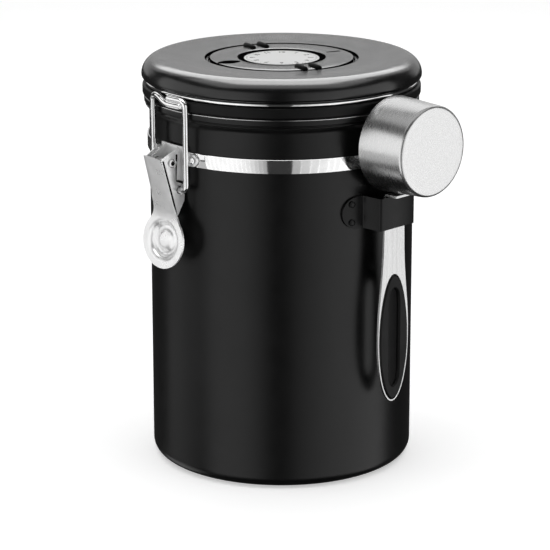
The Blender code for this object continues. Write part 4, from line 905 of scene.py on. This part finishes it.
def lever_wall(side):
    """One side wall, from the front's edge to the link's pivot and down to the fold."""
    flat = flat_plate(wall_outlines(), "lever_wall")
    work = bmesh.new()
    work.from_mesh(flat)
    bpy.data.meshes.remove(flat)
    bmesh.ops.remove_doubles(work, verts=work.verts, dist=0.00001)
    for vertex in work.verts:
        reach, height, layer = vertex.co
        outer = fold_half(height) - WALL_INSET
        across = outer if layer > 0 else outer - WALL_SHEET
        vertex.co = (side * across * MM, -reach * MM, height * MM)
    return finished(work, "lever_wall")


def fold_seam(side):
    """Painted shade: a dark line in the fold between the face and a side wall."""
    path = []
    for step in range(25):
        height = FOLD_SHADE_BASE + (FOLD_SHADE_TOP - FOLD_SHADE_BASE) * step / 24
        across = fold_half(height) - FOLD_SHADE_INSET
        path.append((side * across, -(lever_reach(height) - FOLD_SHADE_BEHIND_FACE), height))
    return tube(path, FOLD_SHADE_RADIUS, "fold_seam")


def rear_edge(side):
    """Painted shade: a dark line in the gap behind a side wall."""
    top = (side * REAR_SHADE_HALF, -REAR_SHADE_TOP[0], REAR_SHADE_TOP[1])
    foot = (side * REAR_SHADE_HALF, -REAR_SHADE_FOOT[0], REAR_SHADE_FOOT[1])
    return tube([top, *along(top, foot, 10), foot], REAR_SHADE_RADIUS, "rear_edge")


# The lever's body and slot
LEVER = ("latch_lever", "pressed_steel")
show("lever_front", lever_front(), SATIN, *LEVER, ["latch_lever"], bevel=FACE_BEVEL)
for label, side in SIDES:
    show("lever_wall_" + label, lever_wall(side), SATIN, *LEVER, bevel=FINE_BEVEL)
    # Painted shade along each fold
    show("fold_seam_" + label, fold_seam(side), INK_AND_SHADE, *LEVER)
    # Painted shade in the gap behind each wall
    show("rear_edge_" + label, rear_edge(side), INK_AND_SHADE, *LEVER)


# Latch pin


def pin_piece(profile, side, name):
    """A mesh turned about the pin's axis, whose top is towards one side."""
    mesh = turned(profile, SMALL_STEPS, name)
    middle = Matrix.Translation((0, -PIN_PLACE[0] * MM, PIN_PLACE[1] * MM))
    mesh.transform(middle @ Matrix.Rotation(side * QUARTER, 4, "Y"))
    return mesh


# The pin's body and slot
PIN = ("canister", "polished_steel")
# Painted shade: a thin matte black disc on the floor of each head's hollow
hollow_shade_section = bar_section(HOLLOW_R, HOLLOW_FLOOR + HOLLOW_SHADE_THICK, HOLLOW_FLOOR)
for label, side in SIDES:
    head = pin_piece(eased(PIN_HEAD, HEAD_EASE), side, "pin_head")
    show("pin_head_" + label, head, POLISHED, *PIN)
    show("pin_hollow_shade_" + label, pin_piece(hollow_shade_section, side, "pin_hollow_shade"), SHADE_MATTE, *PIN)
shank = pin_piece(bar_section(PIN_R, PIN_HALF, -PIN_HALF), 1, "pin_shank")
show("pin_shank", shank, POLISHED, *PIN, ["latch_pivot_pin"])


# Link wire


def link_loop():
    """The link's loop as (side, height) points, from its upper end round to its bend above."""
    low = LINK_PIVOT[1]
    middle = LINK_HALF - LINK_BEND
    upper = LINK_TOP - LINK_BEND
    lower = low + LINK_BEND
    loop = [(LINK_GAP_HALF, LINK_TOP)]
    loop += along((LINK_GAP_HALF, LINK_TOP), (middle, LINK_TOP), 8)
    loop += arc((middle, upper), LINK_BEND, QUARTER, 0, 12)
    loop += along((LINK_HALF, upper), (LINK_HALF, lower), 10)
    loop += arc((middle, lower), LINK_BEND, 0, -QUARTER, 12)
    loop += along((middle, low), (-middle, low), 8)
    loop += arc((-middle, lower), LINK_BEND, -QUARTER, -2 * QUARTER, 12)
    loop += along((-LINK_HALF, lower), (-LINK_HALF, upper), 10)
    loop += arc((-middle, upper), LINK_BEND, 2 * QUARTER, QUARTER, 12)
    return loop


def link_points():
    """The link's path: its lower bar is in the lever and its upper bar follows the lid's round."""
    rho, low = LINK_PIVOT
    leg = math.sqrt(LINK_R**2 - LINK_HALF**2)
    points = []
    for side, height in link_loop():
        stand = rho + (leg - rho) * (height - low) / (LINK_TOP - low)
        if height > (LINK_TOP + low) / 2:
            stand += math.sqrt(LINK_R**2 - side**2) - leg
        points.append((side, -stand, height))
    start = LINK_BEND - LINK_HALF
    for step in range(1, 15):
        share = step / 14
        side = start + (LINK_END - start) * share
        ease = smooth(min(1, share / LINK_STEP_SHARE))
        stand = math.sqrt(LINK_R**2 - side**2) + LINK_STEP_OUT * ease
        points.append((side, -stand, LINK_TOP - LINK_STEP_DOWN * ease))
    return points


link_tube = tube(link_points(), LINK_WIRE, "link_wire")
show("link_wire", link_tube, POLISHED, "latch_link", "polished_steel", ["latch_link"])


# Lid


def lid_section():
    """The lid's closed section: the dial's well, the crown, the round shoulder, the lip, and back."""
    shoulder = (LID_R - SHOULDER_R, LID_TOP - SHOULDER_R)
    lip = (LID_R - LIP_ROUND, LID_TOP - SHOULDER_R)
    outer = [
        (0, WELL_FLOOR),
        (WELL_R, WELL_FLOOR),
        (WELL_R, WELL_TOP - WELL_CHAMFER),
        (WELL_R + WELL_CHAMFER, WELL_TOP),
    ]
    for step in range(9):
        share = step / 8
        radius = shoulder[0] - CROWN_WIDTH * (1 - share)
        outer.append((radius, WELL_TOP + CROWN_RISE * smooth(share)))
    outer += arc(shoulder, SHOULDER_R, QUARTER, 0, 20)[1:]
    outer += arc(lip, LIP_ROUND, 0, -QUARTER, 6)[1:]
    outer += [(LIP_R, LIP_BASE), (LIP_R, LIP_BASE + SHEET)]
    inner = arc(lip, LIP_ROUND - SHEET, -QUARTER, 0, 2)
    inner += arc(shoulder, SHOULDER_R - SHEET, 0, QUARTER, 8)
    inner += [
        (CROWN_INNER_R, WELL_TOP - SHEET),
        (WELL_CORE_R, WELL_TOP - SHEET),
        (WELL_CORE_R, WELL_FLOOR - SHEET),
        (0, WELL_FLOOR - SHEET),
    ]
    return outer + inner


def ring_path():
    """The ring round the liner, drawn out at the rear into the hinge's axle."""
    opening = math.asin(AXLE_HALF / RING_R)
    bend_x = AXLE_HALF - AXLE_BEND
    bend_y = HINGE_Y - AXLE_BEND
    path = arc((0, 0), RING_R, QUARTER + opening, QUARTER + FULL_TURN - opening, 150)
    path += [(AXLE_HALF, y) for y in AXLE_LEG]
    path += arc((bend_x, bend_y), AXLE_BEND, 0, QUARTER, 8)
    path += [(x, HINGE_Y) for x in (AXLE_HALF_BAR, 0, -AXLE_HALF_BAR)]
    path += arc((-bend_x, bend_y), AXLE_BEND, QUARTER, 2 * QUARTER, 8)
    path += [(-AXLE_HALF, y) for y in reversed(AXLE_LEG)]
    return at_height(path, RING_Z)


def hook_path():
    """The short wire under the lid's front that the link holds."""
    path = arc((0, 0), HOOK_R, FRONT - HOOK_LEFT / HOOK_R, FRONT + HOOK_RIGHT / HOOK_R, 12)
    return at_height(path, RING_Z)


def liner_section():
    """The liner's closed section: head under the lid, neck for the gasket, and skirt in the mouth."""
    return [
        (LINER_TOP_R, LINER_TOP),
        (LINER_HEAD_R, LINER_BEVEL_BASE),
        (LINER_HEAD_R, LINER_HEAD_BASE),
        (LINER_NECK_R, LINER_HEAD_BASE),
        (LINER_NECK_R, LINER_NECK_BASE),
        (LINER_SKIRT_R, LINER_NECK_BASE),
        (LINER_SKIRT_R, LINER_BASE),
        (LINER_INNER_R, LINER_BASE),
        (LINER_INNER_R, LINER_ROOF),
        (LINER_VALVE_R, LINER_ROOF),
        (LINER_VALVE_R, LINER_TOP),
    ]


lid_piece = show_turned(
    "lid_shell", lid_section(), BODY_STEPS, LID_PAINT, "lid", "lid_paint", ["lid_cap"]
)
ring_tube = tube(ring_path(), RING_WIRE, "ring_wire", cyclic=True)
show("ring_wire", ring_tube, POLISHED, "lid", "polished_steel", ["lid_wire_ring"])
hook_tube = tube(hook_path(), HOOK_WIRE, "hook_wire")
show("hook_wire", hook_tube, POLISHED, "lid", "polished_steel", ["lid_hook"])
gasket_profile = ring_section(GASKET_R, GASKET_INNER_R, GASKET_TOP, GASKET_BASE)
gasket_profile = eased(gasket_profile, GASKET_ROUND, 8)
show_turned(
    "gasket_ring", gasket_profile, BODY_STEPS, SILICONE, "lid", "silicone", ["lid_gasket"]
)
liner_profile = eased(liner_section(), LINER_EASE, 4)
show_turned(
    "liner_shell", liner_profile, BODY_STEPS, PLASTIC, "lid", "black_plastic", ["lid_liner"]
)
bezel_profile = eased(BEZEL, BEZEL_EASE, 3)
show_turned("bezel_ring", bezel_profile, DIAL_STEPS, INK_AND_SHADE, "lid", "black_plastic", ["dial_bezel"])
face_profile = eased(bar_section(FACE_R, FACE_TOP, DIAL_FLOOR), FACE_EASE)
show_turned("face_disc", face_profile, DIAL_STEPS, WHITE, "lid", "dial_white", ["dial_face"])
show_refined("valve_housing", VALVE_PLASTIC, "lid", "valve_plastic")
show_refined("valve_cover", VALVE_PLASTIC, "lid", "valve_plastic")
show_refined("valve_disc", SILICONE, "valve_disc", "silicone")


# Date ring


def capsule(work, radius, length, place):
    """A round-ended rib along its own Z."""
    made = bmesh.ops.create_uvsphere(work, u_segments=24, v_segments=16, radius=radius)
    stretch = length / 2 - radius
    for vertex in made["verts"]:
        if vertex.co.z > radius / 20:
            vertex.co.z += stretch
        elif vertex.co.z < -radius / 20:
            vertex.co.z -= stretch
    bmesh.ops.transform(work, matrix=place, verts=made["verts"])


def date_ribs():
    """Two pairs of grip ribs, opposite each other."""
    work = bmesh.new()
    for half_turn in (0, math.pi):
        for side in (-RIB_HALF_PITCH, RIB_HALF_PITCH):
            place = Matrix.Rotation(RIB_BEARING + half_turn, 4, "Z")
            place @= Matrix.Translation((side * MM, -RIB_MIDDLE * MM, RIB_Z * MM))
            place @= Matrix.Rotation(QUARTER, 4, "X")
            capsule(work, RIB_R * MM, RIB_LENGTH * MM, place)
    return finished(work, "date_ribs")


def leaf_outline():
    """The pointer's leaf in plan, from its tip at the ring's edge inwards, and its mirror image."""
    right = []
    for step in range(25):
        share = step / 24
        half = LEAF_HALF * math.sin(math.pi * share) ** LEAF_FULLNESS
        right.append((half, -(DATE_RING_R - LEAF_INSET - LEAF_LENGTH * share)))
    left = [(-x, y) for x, y in right[-2:0:-1]]
    return right + left


def tail_outline():
    """The pointer's tail in plan."""
    outer = [(-TAIL_OUTER_HALF, -TAIL_OUTER_R), (TAIL_OUTER_HALF, -TAIL_OUTER_R)]
    inner = [(TAIL_INNER_HALF, -TAIL_INNER_R), (-TAIL_INNER_HALF, -TAIL_INNER_R)]
    return outer + inner


def flat_print(outline, turn, name):
    """A dark print in the date ring's top, from an outline in plan, turned about Z."""
    work = bmesh.new()
    spin = Matrix.Rotation(turn, 4, "Z")
    base = (WELL_TOP - PRINT_DEPTH) * MM
    top = (WELL_TOP + PRINT_RISE) * MM
    lower = [work.verts.new(spin @ Vector((x * MM, y * MM, base))) for x, y in outline]
    upper = [work.verts.new(spin @ Vector((x * MM, y * MM, top))) for x, y in outline]
    work.faces.new(lower[::-1])
    work.faces.new(upper)
    for index in range(len(outline)):
        beyond = (index + 1) % len(outline)
        work.faces.new((lower[index], lower[beyond], upper[beyond], upper[index]))
    return finished(work, name)


def plate_section():
    """The date ring's closed section, with a low ledge beside the bezel."""
    return [
        (PLATE_LEDGE_R, PLATE_LEDGE),
        (PLATE_INNER_R, PLATE_LEDGE),
        (PLATE_INNER_R, WELL_TOP),
        (PLATE_R, WELL_TOP),
        (PLATE_R, DIAL_FLOOR),
        (PLATE_LEDGE_R, DIAL_FLOOR),
    ]


def lining_section():
    """Painted shade: a dark sheet on the floor and the outer wall of the groove round the date ring."""
    return [
        (GROOVE_SHADE_INNER_R, GROOVE_SHADE_FLOOR + GROOVE_SHADE_LIFT),
        (GROOVE_SHADE_R, GROOVE_SHADE_FLOOR + GROOVE_SHADE_LIFT),
        (GROOVE_SHADE_R, GROOVE_SHADE_TOP),
        (GROOVE_SHADE_R + GROOVE_SHADE_SHEET, GROOVE_SHADE_TOP),
        (GROOVE_SHADE_R + GROOVE_SHADE_SHEET, GROOVE_SHADE_FLOOR),
        (GROOVE_SHADE_INNER_R, GROOVE_SHADE_FLOOR),
    ]


# The date ring's body and slot
DATE_RING = ("date_ring", "black_plastic")
plate_profile = eased(plate_section(), PLATE_EASE, 2)
plate_piece = show_turned(
    "date_plate", plate_profile, BODY_STEPS, LID_PAINT, *DATE_RING, ["date_ring"]
)
show("date_ribs", date_ribs(), RIB_BLACK, *DATE_RING)
leaf_print = flat_print(leaf_outline(), POINTER_BEARING, "pointer_leaf")
show("pointer_leaf", leaf_print, INK_AND_SHADE, *DATE_RING)
tail_print = flat_print(tail_outline(), POINTER_BEARING + math.pi, "pointer_tail")
show("pointer_tail", tail_print, INK_AND_SHADE, *DATE_RING)
# Painted shade in the groove round the date ring: on its floor and outer wall, and round the ring's edge
show_turned("groove_shade_sheet", lining_section(), BODY_STEPS, INK_AND_SHADE, "lid", "black_plastic")
edge_shade_section = ring_section(EDGE_SHADE_R, EDGE_SHADE_INNER_R, EDGE_SHADE_TOP, DIAL_FLOOR)
show_turned("plate_edge_shade", edge_shade_section, BODY_STEPS, INK_AND_SHADE, *DATE_RING)
show("rim_bead", rim_bead(), RIM_STEEL, "canister", "body_paint")


# Dial numbers


def numeral(number, turn):
    """A printed number that stands on the dial with its foot towards the middle."""
    curve = bpy.data.curves.new("numeral", "FONT")
    curve.body = str(number)
    curve.size = NUMBER_SIZE * MM
    curve.align_x = "CENTER"
    curve.align_y = "CENTER"
    curve.extrude = NUMBER_THICK * MM
    curve.offset = NUMBER_BOLD * MM
    curve.resolution_u = 3
    text = bpy.data.objects.new("numeral", curve)
    mesh = bpy.data.meshes.new_from_object(text)
    place = Matrix.Translation((0, NUMBER_R * MM, (FACE_TOP + PRINT_LIFT) * MM))
    mesh.transform(Matrix.Rotation(turn, 4, "Z") @ place)
    bpy.data.objects.remove(text)
    bpy.data.curves.remove(curve)
    return mesh


def tick(work, turn, length):
    """A printed line at the dial's edge."""
    middle = (0, (TICK_END_R - length / 2) * MM, (FACE_TOP + PRINT_LIFT) * MM)
    place = Matrix.Rotation(turn, 4, "Z") @ Matrix.Translation(middle)
    scale = Matrix.Diagonal((TICK_WIDTH * MM, length * MM, TICK_THICK * MM, 1))
    bmesh.ops.create_cube(work, size=1, matrix=place @ scale)


def dial_numbers():
    """The twelve hours, each with a long tick and four short ones."""
    work = bmesh.new()
    for number in range(1, HOURS + 1):
        turn = DIAL_TURN - FULL_TURN * number / HOURS
        work.from_mesh(numeral(number, turn))
        for part in range(TICKS_PER_HOUR):
            angle = turn - FULL_TURN * part / (HOURS * TICKS_PER_HOUR)
            tick(work, angle, LONG_TICK if part == 0 else SHORT_TICK)
    return finished(work, "dial_numbers")


show("dial_numbers", dial_numbers(), PRINT, "lid", "black_plastic")


# Scoop


def cup_section():
    """The cup's closed section, from the middle of its closed end to its mouth and back inside."""
    corner = (CUP_END_R - CUP_ROUND, CUP_DEPTH - CUP_ROUND)
    outer = [
        (0, CUP_DEPTH),
        (CUP_FLAT_R, CUP_DEPTH),
        *arc(corner, CUP_ROUND, QUARTER, CUP_DRAFT, 8),
        (CUP_MOUTH_R, 0),
    ]
    inner = [
        (CUP_MOUTH_R - CUP_WALL, 0),
        CUP_INNER_CORNER,
        *arc(corner, CUP_ROUND - CUP_WALL, CUP_DRAFT, QUARTER, 6),
        (0, CUP_DEPTH - CUP_WALL),
    ]
    return outer + inner


# The scoop's body and slot
SCOOP = ("scoop", "brushed_steel")
cup = turned(cup_section(), DIAL_STEPS, "cup_shell")
cup.transform(CUP_PLACE)
cup_piece = show("cup_shell", cup, BRUSHED, *SCOOP, ["scoop_cup"])
show_refined("scoop_handle", STRIP, *SCOOP, name="handle_fine")
show_refined("handle_grip", SILICONE, "scoop", "silicone", GRIP_BEVEL, "grip_fine")


# Floor and backdrop, in metres

FLOOR_RADIUS = 6.0
FLOOR_PLACE = Matrix.Translation((0, 0, -0.0002))
FLOOR_GLOW = 0.44
DOME_RADIUS = 9.0
DOME_GLOW = 1.0


def stage_mesh(name, mesh, colour, glow):
    """A piece of the stage that shines a little and isn't seen in reflections."""
    material, tree, shader = shader_material(name, colour, 0.8, specular=0.0)
    shader.inputs["Emission Color"].default_value = (1, 1, 1, 1)
    shader.inputs["Emission Strength"].default_value = glow
    mesh.materials.append(material)
    mesh.shade_smooth()
    obj = bpy.data.objects.new(name, mesh)
    bpy.context.scene.collection.objects.link(obj)
    obj.visible_glossy = False
    return obj


work = bmesh.new()
bmesh.ops.create_circle(work, cap_ends=True, radius=FLOOR_RADIUS, segments=64, matrix=FLOOR_PLACE)
stage_mesh("floor", finished(work, "floor"), grey(0.80), FLOOR_GLOW)
work = bmesh.new()
bmesh.ops.create_icosphere(work, subdivisions=4, radius=DOME_RADIUS)
dome = stage_mesh("dome", finished(work, "dome"), grey(0.0), DOME_GLOW)
dome.visible_diffuse = False
dome.visible_shadow = False


# Light

# Bearings and elevations are in degrees, distances and sizes in metres
CAMERA_AZIMUTH = math.radians(51)
TOWARD_CAMERA = Vector((math.sin(CAMERA_AZIMUTH), -math.cos(CAMERA_AZIMUTH), 0))
TO_RIGHT = Vector((math.cos(CAMERA_AZIMUTH), math.sin(CAMERA_AZIMUTH), 0))
MIDDLE = Vector((0, 0, 0.095))
BACKGROUND_STRENGTH = 0.04
STRIP_DISTANCE = 1.3
STRIP_ELEVATION = -6
STRIP_HEIGHT = 2.0
STRIP_OVERLAP = 1.04
LEFT_WALL = ((-12, 0.34), (-19, 0.56), (-26, 0.84), (-33, 1.0), (-41, 1.06), (-66, 1.06))
RIGHT_WALL = ((9, 0.36), (16, 0.54), (24, 0.72), (31, 0.84), (39, 0.97), (50, 1.12), (102, 1.15))


def softbox(name, bearing, elevation, distance, width, height, radiance):
    """A rectangular light at a bearing from the camera's side, to the right, that faces the canister."""
    angle = math.radians(bearing)
    rise = math.radians(elevation)
    level = TOWARD_CAMERA * math.cos(angle) + TO_RIGHT * math.sin(angle)
    out = level * math.cos(rise) + Vector((0, 0, math.sin(rise)))
    data = bpy.data.lights.new(name, "AREA")
    data.shape = "RECTANGLE"
    data.size = width
    data.size_y = height
    data.energy = radiance * math.pi * width * height
    light = bpy.data.objects.new(name, data)
    light.location = MIDDLE + out * distance
    light.rotation_mode = "QUATERNION"
    light.rotation_quaternion = out.to_track_quat("Z", "Y")
    light.visible_camera = False
    bpy.context.scene.collection.objects.link(light)
    return light


def strips(label, wall, step):
    """A row of narrow upright lights whose brightness follows the wall's (bearing, radiance) points."""
    number = 0
    for (start, low), (end, high) in zip(wall, wall[1:]):
        count = max(1, round(abs(end - start) / step))
        half_angle = math.radians(abs(end - start) / count / 2)
        width = 2 * STRIP_DISTANCE * math.tan(half_angle) * STRIP_OVERLAP
        for index in range(count):
            middle = (index + 0.5) / count
            bearing = start + (end - start) * middle
            radiance = low + (high - low) * middle
            name = f"{label}_{number}"
            softbox(name, bearing, STRIP_ELEVATION, STRIP_DISTANCE, width, STRIP_HEIGHT, radiance)
            number += 1


def limit_lights(lights, pieces, name, state="INCLUDE"):
    """Lets lights reach only some pieces or, with EXCLUDE, all the others."""
    receivers = bpy.data.collections.new(name)
    for index, piece in enumerate(pieces):
        receivers.objects.link(piece)
        receivers.collection_objects[index].light_linking.link_state = state
    for light in lights:
        light.light_linking.receiver_collection = receivers


strips("left", LEFT_WALL, 4)
strips("right", RIGHT_WALL, 6)

# Each has a name, bearing, elevation, distance, width, height and radiance
softbox("left_upper", -91, 12, 1.3, 1.22, 1.0, 1.05)
softbox("left_lower", -91, -19, 1.3, 1.22, 0.36, 0.5)
softbox("left_low", -114, -42, 1.3, 0.8, 0.5, 0.9)
softbox("back_low", 180, 12, 1.8, 3.4, 0.72, 0.60)
softbox("back_high", 180, 42, 1.5, 2.2, 0.9, 1.0)

# The top light leaves out the cup, which has a fainter one, and three more reach only the lid
top_light = softbox("top_box", 0, 88, 1.3, 2.2, 1.25, 2.0)
limit_lights([top_light], [cup_piece], "shaded_from_top", "EXCLUDE")
cup_light = softbox("cup_top", 0, 88, 1.3, 2.2, 1.25, 0.45)
limit_lights([cup_light], [cup_piece], "cup_from_above")
lid_lights = [
    softbox("lid_high", 180, 41, 1.5, 1.5, 0.7, 4.3),
    softbox("lid_top", 180, 64, 1.4, 1.2, 0.6, 6.4),
    softbox("lid_over", 180, 84, 1.4, 1.1, 0.42, 8.0),
]
limit_lights(lid_lights, [lid_piece, plate_piece], "lit_from_above")

world = bpy.data.worlds.new("studio")
world.use_nodes = True
background = world.node_tree.nodes["Background"]
background.inputs["Color"].default_value = (1, 1, 1, 1)
background.inputs["Strength"].default_value = BACKGROUND_STRENGTH
bpy.context.scene.world = world


# Camera

CAMERA_DISTANCE = 1.1109
CAMERA_PITCH = 0.2665
camera_data = bpy.data.cameras.new("camera")
camera_data.lens = 157.6
camera_data.sensor_width = 36
camera_data.shift_x = -0.0121
camera_data.shift_y = -0.0473
camera_data.clip_end = 50
camera = bpy.data.objects.new("camera", camera_data)
to_camera = TOWARD_CAMERA * math.cos(CAMERA_PITCH) + Vector((0, 0, math.sin(CAMERA_PITCH)))
camera.location = MIDDLE + to_camera * CAMERA_DISTANCE
camera.rotation_mode = "QUATERNION"
camera.rotation_quaternion = (-to_camera).to_track_quat("-Z", "Y")
bpy.context.scene.collection.objects.link(camera)
bpy.context.scene.camera = camera
bpy.context.scene.view_settings.view_transform = "Standard"
